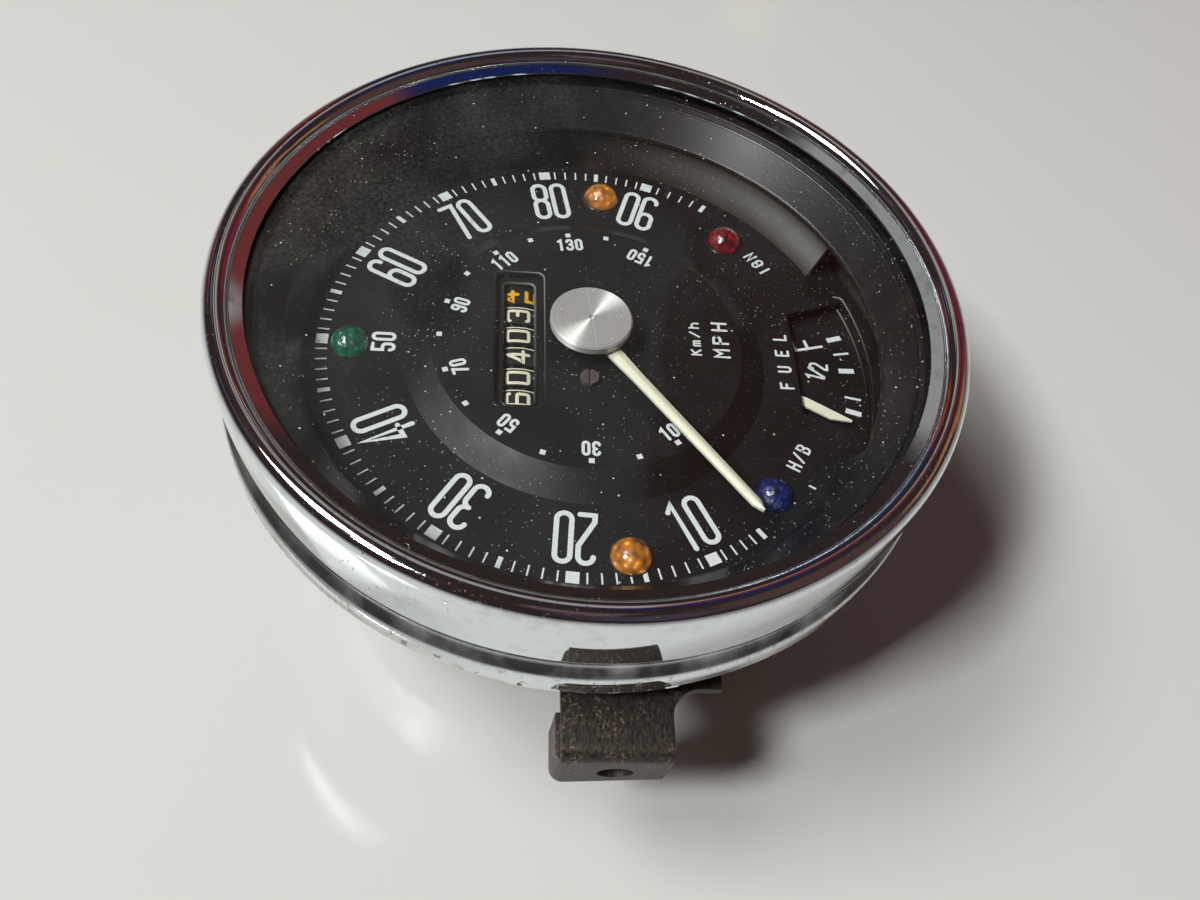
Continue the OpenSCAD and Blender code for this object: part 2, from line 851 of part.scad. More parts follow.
// Bridge casting: bar, odometer pad, dial posts and the hairspring's anchor
module bridge() {
    bar_w = 9;
    end_over = 3.5;
    bar_len = 2 * (pillar_x + end_over);
    bar_corner = 2;
    pad_w = 24;
    pad_y = 19;
    pad_low_y = -8.6;
    anchor_r = 7.2;
    anchor_half = 0.8;
    tapped_r = 1.05;
    tapped_depth = 4;
    color([0.6, 0.6, 0.62])
        difference() {
            union() {
                translate([0, 0, bridge_z])
                    linear_extrude(bridge_t) {
                        rounded_rect(bar_len, bar_w, bar_corner);
                        translate([-pad_w / 2, pad_low_y])
                            square([pad_w, pad_y - pad_low_y]);
                    }
                at_each([[-dial_screw_x, 0], [dial_screw_x, 0]])
                    ring(post_r, 0, bridge_top_z - weld, disc_z - dial_sheet);
                translate([-anchor_half, -anchor_r - anchor_half, bridge_top_z - weld])
                    cube([2 * anchor_half, 2 * anchor_half, spring_z + spring_h - bridge_top_z]);
            }
            translate([0, 0, bridge_z - past])
                cylinder(r = staff_r + fit_gap, h = bridge_t + 2 * past);
            at_each([[-dial_screw_x, 0], [dial_screw_x, 0]])
                translate([0, 0, disc_z - tapped_depth])
                    cylinder(r = tapped_r, h = tapped_depth);
        }
}

// Spindle with the square socket for the cable and the worm that drives the odometer
module main_spindle() {
    worm_low = shaft_z - worm_turns * worm_lead / 2;
    worm_slices = 16;
    worm_sides = 20;
    color([0.65, 0.66, 0.68])
        difference() {
            union() {
                ring(spindle_r, 0, spindle_low_z, worm_low + weld);
                ring(neck_r, 0, worm_low, magnet_z + magnet_h);
                translate([0, 0, worm_low])
                    linear_extrude(worm_turns * worm_lead, twist = -360 * worm_turns,
                                   slices = worm_slices * worm_turns, $fn = worm_sides)
                        translate([worm_crest, 0])
                            circle(r = worm_pitch_r);
            }
            translate([-socket_side / 2, -socket_side / 2, spindle_low_z - past])
                cube([socket_side, socket_side, socket_depth + past]);
        }
}

// Ring magnet on the spindle
module magnet() {
    color([0.3, 0.3, 0.33])
        ring(magnet_r, neck_r + snug, magnet_z, magnet_z + magnet_h);
}

// Fixed steel ring round the drag cup, hung from the bridge
module flux_ring() {
    below_magnet = 0.5;
    low = magnet_z - below_magnet;
    color([0.55, 0.5, 0.35])
        ring(flux_r, flux_in_r, low, bridge_z);
}

// Aluminium cup that the turning magnet drags round
module drag_cup() {
    low = magnet_z;
    color([0.8, 0.8, 0.82]) {
        ring(cup_r, cup_r - cup_t, low, cup_top_z);
        ring(cup_r, staff_r + snug, cup_top_z - cup_t, cup_top_z);
    }
}

// Staff that carries the cup, the hairspring's collet and the pointer
module pointer_staff() {
    low_gap = 0.2;
    above_dial = 8;
    collet_over = 0.6;
    low = magnet_z + magnet_h + low_gap;
    high = dial_z + above_dial;
    color([0.7, 0.7, 0.72]) {
        ring(staff_r, 0, low, high);
        ring(collet_r, 0, spring_z - collet_over, spring_z + spring_h + collet_over);
    }
}

// Flat spiral spring from the staff's collet to the anchor on the bridge
module hairspring() {
    turns = 4;
    steps = 28;
    start_gap = 0.1;
    start_r = collet_r + start_gap;
    end_r = 6.2;
    strip = 0.2;
    function spiral(i, off) =
        let (t = i / (turns * steps), a = -90 + 360 * turns * t)
            (start_r + (end_r - start_r) * t + off) * [cos(a), sin(a)];
    color([0.75, 0.6, 0.3])
        translate([0, 0, spring_z])
            linear_extrude(spring_h)
                polygon(concat([for (i = [0 : turns * steps]) spiral(i, 0)],
                               [for (i = [turns * steps : -1 : 0]) spiral(i, strip)]));
}

// Tapered pointer with a round hub
module pointer() {
    low = dial_z + 6.6;
    blade_t = 1;
    root_half = 1.5;
    mid_half = 1.1;
    tip_half = 0.9;
    point_half = 0.15;
    mid_at = 14;
    point_len = 2;
    tail_r = 5;
    hub_h = 1.65;
    tip_at = pointer_len - point_len;
    color([0.9, 0.88, 0.78])
        rotate([0, 0, -pointer_angle])
            translate([0, 0, low])
                difference() {
                    union() {
                        linear_extrude(blade_t)
                            polygon([[-root_half, 0], [root_half, 0], [mid_half, mid_at],
                                     [tip_half, tip_at], [point_half, pointer_len],
                                     [-point_half, pointer_len], [-tip_half, tip_at],
                                     [-mid_half, mid_at]]);
                        cylinder(r = tail_r, h = hub_h);
                    }
                    translate([0, 0, -past])
                        cylinder(r = staff_r + snug, h = hub_h + 2 * past);
                }
}

// Turned aluminium cap over the pointer's hub
module hub_cap() {
    high = dial_z + 9.85;
    cap_t = 1.6;
    edge = 0.3;
    dimple_r = 0.5;
    dimple_h = 0.6;
    color([0.75, 0.75, 0.76])
        difference() {
            translate([0, 0, high - cap_t])
                rotate_extrude()
                    polygon([[0, 0], [hub_r, 0], [hub_r, cap_t - edge],
                             [hub_r - edge, cap_t], [0, cap_t]]);
            translate([0, 0, high - dimple_h])
                cylinder(r = dimple_r, h = dimple_h + past);
        }
}

// Cross shaft with the eccentric pin at its end
module cross_shaft() {
    end_over = 1;
    start_x = left_cheek_x - end_over;
    web_r = 2.2;
    web_t = 1;
    web_gap = 0.3;
    web_x = right_cheek_x + cheek_t + web_gap;
    color([0.65, 0.66, 0.68]) {
        bar_x([start_x, shaft_y, shaft_z], shaft_r, web_x - start_x + weld);
        bar_x([web_x, shaft_y, shaft_z], web_r, web_t);
        bar_x([web_x + web_t - weld, shaft_y, shaft_z + eccentric_throw], eccentric_r,
              eccentric_x + eccentric_w - web_x - web_t + weld);
    }
}

// Wheel that the spindle's worm turns
module worm_wheel() {
    face_w = 2.4;
    addendum = 0.45;
    dedendum = 0.75;
    tip_share = 0.12;
    tip_r = wheel_pitch_r + addendum;
    root_r = wheel_pitch_r - dedendum;
    quarter_pitch = 90 / worm_teeth;
    color([0.85, 0.82, 0.7])
        translate([-face_w / 2, shaft_y, shaft_z])
            rotate([0, 90, 0])
                difference() {
                    rotate([0, 0, -90 - quarter_pitch])
                        linear_extrude(face_w)
                            polygon(gear_points(worm_teeth, tip_r, root_r, tip_share,
                                                gear_root_share));
                    translate([0, 0, -past])
                        cylinder(r = shaft_r + snug, h = face_w + 2 * past);
                }
}

// Rocker that the eccentric swings to step the ratchet wheel
module drive_rocker() {
    plate_x = ratchet_x;
    plate_t = 1;
    arm_half = 1.6;
    boss_r = 2.6;
    pawl_half = 0.6;
    pawl_len = 2;
    pawl_gap = 0.15;
    fork_half = 3.5;
    slot_half = 2.15;
    slot_above = 2;
    fork_below = 2.5;
    fork_above = 3.2;
    fork_low = shaft_z - fork_below;
    fork_high = shaft_z + fork_above;
    top_z = drum_z - ratchet_tip_r - pawl_gap;
    arm_top_z = top_z - pawl_len;
    color([0.6, 0.6, 0.58])
        difference() {
            union() {
                translate([plate_x, drum_y - arm_half, fork_high - weld])
                    cube([plate_t, 2 * arm_half, arm_top_z - fork_high + weld]);
                translate([plate_x, drum_y - pawl_half, arm_top_z - weld])
                    cube([plate_t, 2 * pawl_half, pawl_len + weld]);
                translate([plate_x, shaft_y - fork_half, fork_low])
                    cube([plate_t, 2 * fork_half, fork_high - fork_low]);
                bar_x([plate_x, drum_y, rocker_z], boss_r, plate_t);
            }
            translate([plate_x - past, shaft_y - slot_half, fork_low - past])
                cube([plate_t + 2 * past, 2 * slot_half,
                      shaft_z + slot_above - fork_low + past]);
            bar_x([plate_x - past, drum_y, rocker_z], rocker_pin_r + fit_gap,
                  plate_t + 2 * past);
        }
}

// Frame of the odometer: base strip, two cheeks and the rocker's pin
module odometer_frame() {
    base_t = 0.5;
    cheek_low_y = 6;
    cheek_high_y = 28;
    cheek_over = 5;
    cheek_high_z = drum_z + cheek_over;
    tail_half = 4;
    tail_below = 3;
    tail_low_z = rocker_z - tail_below;
    side_gap = 0.4;
    rocker_slot_x = ratchet_x - side_gap;
    rocker_slot_w = 1.8;
    rocker_slot_half = 3.5;
    bore_len = odo_right_x - odo_left_x + 4 * past;
    color([0.65, 0.6, 0.4])
        difference() {
            union() {
                translate([odo_left_x, cheek_low_y, bridge_top_z])
                    cube([odo_right_x + odo_sheet - odo_left_x, cheek_high_y - cheek_low_y,
                          base_t]);
                for (x = [odo_left_x, odo_right_x])
                    translate([x, cheek_low_y, bridge_top_z])
                        cube([odo_sheet, cheek_high_y - cheek_low_y,
                              cheek_high_z - bridge_top_z]);
                translate([odo_right_x, drum_y - tail_half, tail_low_z])
                    cube([odo_sheet, 2 * tail_half, bridge_top_z - tail_low_z + weld]);
                bar_x([rocker_slot_x, drum_y, rocker_z], rocker_pin_r,
                      odo_right_x - rocker_slot_x + weld);
            }
            translate([rocker_slot_x, drum_y - rocker_slot_half, bridge_top_z - past])
                cube([rocker_slot_w, 2 * rocker_slot_half, base_t + 2 * past]);
            bar_x([odo_left_x - past, drum_y, drum_z], drum_shaft_r + snug, bore_len);
            bar_x([odo_left_x - past, drum_y + pinion_offset, drum_z],
                  pinion_shaft_r + snug, bore_len);
        }
}

// Fixed axle of the drums
module drum_shaft() {
    color([0.65, 0.66, 0.68])
        bar_x([odo_left_x - shaft_over, drum_y, drum_z], drum_shaft_r,
              odo_right_x + odo_sheet - odo_left_x + 2 * shaft_over);
}

// Ratchet wheel beside the tenths drum
module ratchet_wheel() {
    tip_share = 0.1;
    root_share = 0.8;
    color([0.75, 0.65, 0.35])
        translate([ratchet_x, drum_y, drum_z])
            rotate([0, 90, 0])
                difference() {
                    linear_extrude(ratchet_w)
                        polygon(gear_points(ratchet_teeth, ratchet_tip_r, ratchet_root_r,
                                            tip_share, root_share));
                    translate([0, 0, -past])
                        cylinder(r = drum_shaft_r + fit_gap, h = ratchet_w + 2 * past);
                }
}

// One number drum: rim, and on all but the last a ring of teeth for the carry pinion
module drum(index, tint) {
    width = drum_pitch - drum_gap;
    has_ring = index < drum_count - 1;
    tip_share = 0.3;
    rim_w = has_ring ? width - ring_w : width;
    start = [drum_left_x + index * drum_pitch, drum_y, drum_z];
    color(tint)
        translate(start)
            rotate([0, 90, 0])
                difference() {
                    union() {
                        cylinder(r = drum_r, h = rim_w);
                        if (has_ring)
                            rotate([0, 0, 90 + 180 / ring_teeth])
                                linear_extrude(width)
                                    polygon(gear_points(ring_teeth, ring_tip_r, ring_root_r,
                                                        tip_share, gear_root_share));
                    }
                    translate([0, 0, -past])
                        cylinder(r = drum_shaft_r + fit_gap, h = width + 2 * past);
                }
}

module ten_thousands_drum() { drum(0, [0.06, 0.06, 0.06]); }
module thousands_drum() { drum(1, [0.06, 0.06, 0.06]); }
module hundreds_drum() { drum(2, [0.06, 0.06, 0.06]); }
module tens_drum() { drum(3, [0.06, 0.06, 0.06]); }
module units_drum() { drum(4, [0.06, 0.06, 0.06]); }
module tenths_drum() { drum(5, [0.1, 0.09, 0.05]); }

// Fixed axle of the carry pinions
module pinion_shaft() {
    color([0.65, 0.66, 0.68])
        bar_x([odo_left_x - shaft_over, drum_y + pinion_offset, drum_z], pinion_shaft_r,
              odo_right_x + odo_sheet - odo_left_x + 2 * shaft_over);
}

// Small gear that carries one drum's turn to the next drum on its left
module carry_pinion(index) {
    inset = 0.05;
    tip_share = 0.2;
    width = ring_w - 2 * inset;
    start_x = drum_left_x + index * drum_pitch - drum_gap - ring_w + inset;
    color([0.85, 0.83, 0.75])
        translate([start_x, drum_y + pinion_offset, drum_z])
            rotate([0, 90, 0])
                difference() {
                    rotate([0, 0, -90])
                        linear_extrude(width)
                            polygon(gear_points(pinion_teeth, pinion_tip_r, pinion_root_r,
                                                tip_share, gear_root_share));
                    translate([0, 0, -past])
                        cylinder(r = pinion_shaft_r + fit_gap, h = width + 2 * past);
                }
}

module carry_pinion_1() { carry_pinion(1); }
module carry_pinion_2() { carry_pinion(2); }
module carry_pinion_3() { carry_pinion(3); }
module carry_pinion_4() { carry_pinion(4); }
module carry_pinion_5() { carry_pinion(5); }

// Recessed face of the fuel gauge with the curved wall that meets the dial
module fuel_face() {
    half_w = 19;
    top_y = -37.5;
    wall_t = 0.9;
    face_z = dial_z - fuel_face_drop;
    color([0.05, 0.05, 0.055]) {
        translate([0, 0, face_z - fuel_plate_t])
            linear_extrude(fuel_plate_t)
                intersection() {
                    circle(r = fuel_rim_r + wall_t);
                    translate([-half_w, below_dial_y])
                        square([2 * half_w, top_y - below_dial_y]);
                }
        translate([0, 0, face_z - weld])
            linear_extrude(fuel_face_drop - dial_sheet - fit_gap + weld)
                intersection() {
                    difference() {
                        circle(r = fuel_rim_r + wall_t);
                        circle(r = fuel_rim_r);
                    }
                    translate([-half_w, below_dial_y])
                        square([2 * half_w, top_y - below_dial_y]);
                }
    }
}

// Fuel gauge's needle: cranked blade, hub and staff, resting just short of the empty mark
module fuel_needle() {
    hub_outer = 2.2;
    root_half = 1.1;
    blade_from = -21.7;
    blade_left = -0.6;
    blade_right = 1.5;
    shoulder_at = [-1.3, -27.2];
    point_half = 0.2;
    color([0.9, 0.88, 0.78])
        translate([fuel_at[0], fuel_at[1], needle_z])
            rotate([0, 0, needle_angle]) {
                linear_extrude(needle_t)
                    polygon([[-root_half, 0], [root_half, 0], [blade_right, blade_from],
                             [point_half, -needle_len], [-point_half, -needle_len],
                             shoulder_at, [blade_left, blade_from]]);
                translate([0, 0, -weld])
                    cylinder(r = hub_outer, h = needle_t + weld);
                translate([0, 0, -fuel_pin_len])
                    cylinder(r = fuel_pin_r, h = fuel_pin_len);
            }
}

// Small frame that holds the fuel gauge's bearing and its face
module fuel_frame() {
    bearing_r = 2.4;
    hub_gap = 1;
    bearing_high = needle_z - hub_gap;
    post_places = [[-14, -42], [14, -42]];
    plate = [34, 26];
    plate_low = [-17, -44];
    fuel_post_r = 1.5;
    face_low_z = dial_z - fuel_face_drop - fuel_plate_t;
    color([0.65, 0.6, 0.4])
        difference() {
            union() {
                translate([plate_low[0], plate_low[1], fuel_frame_z])
                    cube([plate[0], plate[1], fuel_frame_t]);
                translate([fuel_at[0], fuel_at[1], 0])
                    ring(bearing_r, 0, fuel_frame_z, bearing_high);
                at_each(post_places)
                    ring(fuel_post_r, 0, fuel_frame_z, face_low_z);
            }
            translate([fuel_at[0], fuel_at[1], bearing_high - fuel_pin_len])
                cylinder(r = fuel_pin_r + fit_gap, h = fuel_pin_len + past);
        }
}

// Heated strip that bends to move the needle, with its winding
module bimetal_strip() {
    strip_t = 0.4;
    strip_h = 3;
    strip_len = 20;
    low = fuel_frame_z + fuel_frame_t;
    strip_at = [8, -42];
    foot_len = 3;
    winding_from = 5;
    winding_len = 11;
    winding = 1.6;
    winding_inset = 0.2;
    color([0.7, 0.45, 0.25]) {
        translate([strip_at[0], strip_at[1], low])
            cube([strip_t, strip_len, strip_h]);
        translate([strip_at[0] + (strip_t - winding) / 2, strip_at[1] + winding_from,
                   low + winding_inset])
            cube([winding, winding_len, strip_h - 2 * winding_inset]);
        translate([strip_at[0] - foot_len, strip_at[1], low])
            cube([foot_len + strip_t, strip_t, strip_h]);
    }
}

bezel();
glass();
glass_gasket();
surround();
dial_plate();
dial_screws();
green_jewel();
left_amber_jewel();
right_amber_jewel();
blue_jewel();
red_jewel();
light_tubes();
case();
case_gasket();
left_bracket();
right_bracket();
bracket_rivets();
cable_boss();
spindle_bush();
lamp_holders();
bulbs();
stabiliser_can();
stabiliser_blades();
fuel_studs();
fuel_insulators();
fuel_nuts();
movement_screws();
movement_frame();
frame_pillars();
bridge();
main_spindle();
magnet();
flux_ring();
drag_cup();
pointer_staff();
hairspring();
pointer();
hub_cap();
cross_shaft();
worm_wheel();
drive_rocker();
odometer_frame();
drum_shaft();
ratchet_wheel();
ten_thousands_drum();
thousands_drum();
hundreds_drum();
tens_drum();
units_drum();
tenths_drum();
pinion_shaft();
carry_pinion_1();
carry_pinion_2();
carry_pinion_3();
carry_pinion_4();
carry_pinion_5();
fuel_face();
fuel_needle();
fuel_frame();
bimetal_strip();
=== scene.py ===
"""Dresses a packed magnetic speedometer: finishes, dial printing, drum figures, studio and camera."""
import logging
import math
from dataclasses import dataclass, field
from enum import Enum
from typing import Callable, Sequence

import bmesh
import bpy
from mathutils import Matrix, Vector


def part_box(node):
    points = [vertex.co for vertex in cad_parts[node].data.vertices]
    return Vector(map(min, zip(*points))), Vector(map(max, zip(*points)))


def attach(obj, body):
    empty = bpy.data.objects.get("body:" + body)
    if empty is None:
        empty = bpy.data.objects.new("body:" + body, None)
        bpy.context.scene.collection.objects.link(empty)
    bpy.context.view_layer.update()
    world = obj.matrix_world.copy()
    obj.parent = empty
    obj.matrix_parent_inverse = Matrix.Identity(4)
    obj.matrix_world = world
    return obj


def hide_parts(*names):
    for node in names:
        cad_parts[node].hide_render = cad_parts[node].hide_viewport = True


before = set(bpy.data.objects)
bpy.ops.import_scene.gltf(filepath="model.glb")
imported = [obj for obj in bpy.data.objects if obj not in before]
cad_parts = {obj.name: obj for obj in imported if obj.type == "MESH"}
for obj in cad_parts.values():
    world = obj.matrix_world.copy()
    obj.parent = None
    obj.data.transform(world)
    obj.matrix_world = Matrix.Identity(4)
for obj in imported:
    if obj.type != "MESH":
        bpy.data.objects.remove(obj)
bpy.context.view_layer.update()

LOG = logging.getLogger("speedometer")

MM = 0.001
TAU = 2 * math.pi
PRINT_LIFT = 0.01
PRINT_THICK = 0.05

Colour = tuple[float, float, float]
Point2 = tuple[float, float]
Point3 = tuple[float, float, float]
Placer = Callable[[float, float, float], Point3]


class Body(Enum):
    """The bodies that pieces ride on, apart from the drums."""

    INSTRUMENT = "instrument"
    POINTER = "speed_pointer"


class Ink(Enum):
    """Colours of the printing on the dial and the drums, as linear light."""

    WHITE = (0.88, 0.93, 0.91)
    CREAM = (0.94, 0.89, 0.70)
    YELLOW = (0.95, 0.50, 0.01)


class NodeSketch:
    """The nodes of a material or a world while they are being put together."""

    def __init__(self, tree: bpy.types.NodeTree) -> None:
        """Starts with no nodes in the tree of a material or a world."""
        self.tree = tree
        self.tree.nodes.clear()

    def add(self, kind: str, **settings: object) -> bpy.types.Node:
        """Adds one node.

        Args:
            kind: the node's type name.
            settings: attributes to set on it.

        Returns:
            The new node.
        """
        node = self.tree.nodes.new(kind)
        for name, value in settings.items():
            setattr(node, name, value)
        return node

    def feed(self, socket: bpy.types.NodeSocket, value: object) -> None:
        """Sets an input to a value, or links it when the value is an output.

        Args:
            socket: the input.
            value: a number, a colour or an output socket.
        """
        if isinstance(value, bpy.types.NodeSocket):
            self.tree.links.new(value, socket)
        elif isinstance(value, tuple) and len(value) == 3 and len(socket.default_value) == 4:
            socket.default_value = (*value, 1.0)
        else:
            socket.default_value = value

    def run(self, kind: str, **inputs: object) -> bpy.types.NodeSocket:
        """Adds one node and feeds its inputs.

        Args:
            kind: the node's type name.
            inputs: values or outputs by the input's name, with _ for a space.

        Returns:
            The node's first output.
        """
        node = self.add(kind)
        for name, value in inputs.items():
            self.feed(node.inputs[name.replace("_", " ")], value)
        return node.outputs[0]

    def math(self, kind: str, first: object, *others: object) -> bpy.types.NodeSocket:
        """Works through several values with one kind of math node.

        Args:
            kind: the operation.
            first: a number or an output.
            others: more of them, or none when the operation takes one value.

        Returns:
            The last node's result.
        """
        result = first
        for other in others or (0.0,):
            node = self.add("ShaderNodeMath", operation=kind)
            self.feed(node.inputs[0], result)
            self.feed(node.inputs[1], other)
            result = node.outputs[0]
        return result

    def plus(self, *values: object) -> bpy.types.NodeSocket:
        """The sum of several values."""
        return self.math("ADD", *values)

    def times(self, *values: object) -> bpy.types.NodeSocket:
        """The product of several values."""
        return self.math("MULTIPLY", *values)

    def most(self, *values: object) -> bpy.types.NodeSocket:
        """The largest of several values."""
        return self.math("MAXIMUM", *values)

    def span(self, value: object, low: float, high: float, to_low: float = 0.0, to_high: float = 1.0,
             eased: bool = False) -> bpy.types.NodeSocket:
        """Maps a value from one range to another, clamped.

        Args:
            value: a number or an output.
            low: the value that gives to_low.
            high: the value that gives to_high.
            to_low: the result's one end.
            to_high: its other end.
            eased: whether it starts and stops softly.

        Returns:
            The mapped value.
        """
        node = self.add("ShaderNodeMapRange", interpolation_type="SMOOTHSTEP" if eased else "LINEAR")
        for socket, number in zip(node.inputs, (value, low, high, to_low, to_high)):
            self.feed(socket, number)
        return node.outputs[0]

    def mix(self, share: object, a: object, b: object) -> bpy.types.NodeSocket:
        """Mixes two colours.

        Args:
            share: 0 gives a and 1 gives b.
            a: a colour or an output.
            b: a colour or an output.

        Returns:
            The mixed colour.
        """
        node = self.add("ShaderNodeMix", data_type="RGBA")
        self.feed(node.inputs["Factor"], share)
        self.feed(node.inputs[6], a)
        self.feed(node.inputs[7], b)
        return node.outputs[2]


class MaterialSketch(NodeSketch):
    """A material while it is being put together, in its object's own place."""

    def __init__(self, name: str) -> None:
        """Starts an empty material.

        Args:
            name: the material's name.
        """
        self.material = bpy.data.materials.new(name)
        self.material.use_nodes = True
        super().__init__(self.material.node_tree)
        self.place = self.add("ShaderNodeTexCoord").outputs["Object"]

    def axis(self, name: str) -> bpy.types.NodeSocket:
        """One coordinate of the object's own place.

        Args:
            name: X, Y or Z.

        Returns:
            The coordinate, in metres.
        """
        node = self.add("ShaderNodeSeparateXYZ")
        self.feed(node.inputs[0], self.place)
        return node.outputs[name]

    def noise(self, per_mm: float, detail: float, stretch: Point3 = (1, 1, 1)) -> bpy.types.NodeSocket:
        """Smooth noise.

        Args:
            per_mm: how many features lie in a millimetre.
            detail: octaves.
            stretch: scale along each axis.

        Returns:
            The noise's value.
        """
        scale = tuple(s * per_mm / MM for s in stretch)
        mapped = self.run("ShaderNodeMapping", Vector=self.place, Scale=scale)
        return self.run("ShaderNodeTexNoise", Vector=mapped, Scale=1.0, Detail=detail)

    def specks(self, per_mm: float, size: float) -> bpy.types.NodeSocket:
        """Small round specks scattered in space.

        Args:
            per_mm: how many cells lie in a millimetre.
            size: radius of a speck as a share of its cell.

        Returns:
            1 inside a speck and 0 elsewhere.
        """
        cells_with_one = 0.45
        node = self.add("ShaderNodeTexVoronoi")
        self.feed(node.inputs["Vector"], self.place)
        self.feed(node.inputs["Scale"], per_mm / MM)
        near = self.math("LESS_THAN", node.outputs["Distance"], size)
        draw = self.run("ShaderNodeSeparateColor", Color=node.outputs["Color"])
        return self.times(near, self.math("LESS_THAN", draw, cells_with_one))

    def bump(self, height: bpy.types.NodeSocket, depth_mm: float) -> bpy.types.NodeSocket:
        """A normal bent by a height, which is depth_mm deep where it is 1."""
        return self.run("ShaderNodeBump", Distance=depth_mm * MM, Height=height)

    def layer(self, share: object, under: bpy.types.NodeSocket, over: bpy.types.NodeSocket,
              ) -> bpy.types.NodeSocket:
        """Mixes two shaders.

        Args:
            share: 0 gives under and 1 gives over.
            under: one shader.
            over: the other.

        Returns:
            The mixed shader.
        """
        node = self.add("ShaderNodeMixShader")
        for socket, value in zip(node.inputs, (share, under, over)):
            self.feed(socket, value)
        return node.outputs[0]

    def show(self, shader: bpy.types.NodeSocket) -> bpy.types.Material:
        """Shows a shader and returns the finished material."""
        self.feed(self.add("ShaderNodeOutputMaterial").inputs["Surface"], shader)
        return self.material

    def principled(self, **inputs: object) -> bpy.types.Material:
        """Shows the main shader, with inputs as in run, and returns the finished material."""
        return self.show(self.run("ShaderNodeBsdfPrincipled", **inputs))


@dataclass(frozen=True)
class Surface:
    """A plain metal, paint or plastic with mottling, fine grain and worn spots."""

    name: str
    colour: Colour
    worn: Colour
    metallic: float = 0.0
    roughness: float = 0.4
    mottle_per_mm: float = 0.12
    grain_per_mm: float = 3.0
    grain_mm: float = 0.01
    wear: float = 0.4
    coat: float = 0.0

    def build(self) -> bpy.types.Material:
        """Builds the finish.

        Returns:
            The material.
        """
        sketch = MaterialSketch(self.name)
        mottle = sketch.noise(self.mottle_per_mm, 6)
        grain = sketch.noise(self.grain_per_mm, 3)
        worn = sketch.span(mottle, 0.66 - 0.3 * self.wear, 0.78)
        streak = sketch.span(grain, 0.3, 0.7, 0.0, 0.35)
        tone = sketch.mix(sketch.most(worn, streak), self.colour, self.worn)
        rough = sketch.span(mottle, 0.3, 0.7, self.roughness * 0.8, min(1.0, self.roughness * 1.35))
        return sketch.principled(Base_Color=tone, Metallic=self.metallic, Roughness=rough,
                                 Coat_Weight=self.coat, Normal=sketch.bump(grain, self.grain_mm))


@dataclass(frozen=True)
class DustyPlastic:
    """Satin black plastic with a pale film, partly dust and partly painted sheen, that thickens in one
    direction, towards where the light falls, between two heights.
    """

    name: str
    colour: Colour
    film: Colour
    towards: Point2
    start_mm: float
    full_mm: float
    low_mm: float
    top_mm: float
    fade_mm: float = 3.0
    grain_mm: float = 0.004

    def build(self) -> bpy.types.Material:
        """Builds the finish.

        Returns:
            The material.
        """
        sketch = MaterialSketch(self.name)
        # Painted sheen: the pale film grows towards the side where the light falls; the random streaks stand
        # for dust.
        along = sketch.plus(sketch.times(sketch.axis("X"), self.towards[0]),
                            sketch.times(sketch.axis("Y"), self.towards[1]))
        lit_side = sketch.span(along, self.start_mm * MM, self.full_mm * MM)
        height = sketch.axis("Z")
        above_foot = sketch.span(height, self.low_mm * MM, (self.low_mm + self.fade_mm) * MM, 0.25, 1.0)
        below_top = sketch.span(height, self.top_mm * MM, (self.top_mm - self.fade_mm) * MM)
        uneven = sketch.span(sketch.noise(0.10, 5), 0.3, 0.7, 0.8, 1.0)
        streaks = sketch.span(sketch.noise(0.16, 6), 0.50, 0.72, 0.0, 0.06)
        share = sketch.most(sketch.times(lit_side, lit_side, above_foot, below_top, uneven), streaks)
        grain = sketch.noise(4.0, 3)
        return sketch.principled(Base_Color=sketch.mix(share, self.colour, self.film),
                                 Roughness=sketch.span(grain, 0.3, 0.7, 0.30, 0.40), Coat_Weight=0.3,
                                 Coat_Roughness=0.2, Normal=sketch.bump(grain, self.grain_mm))


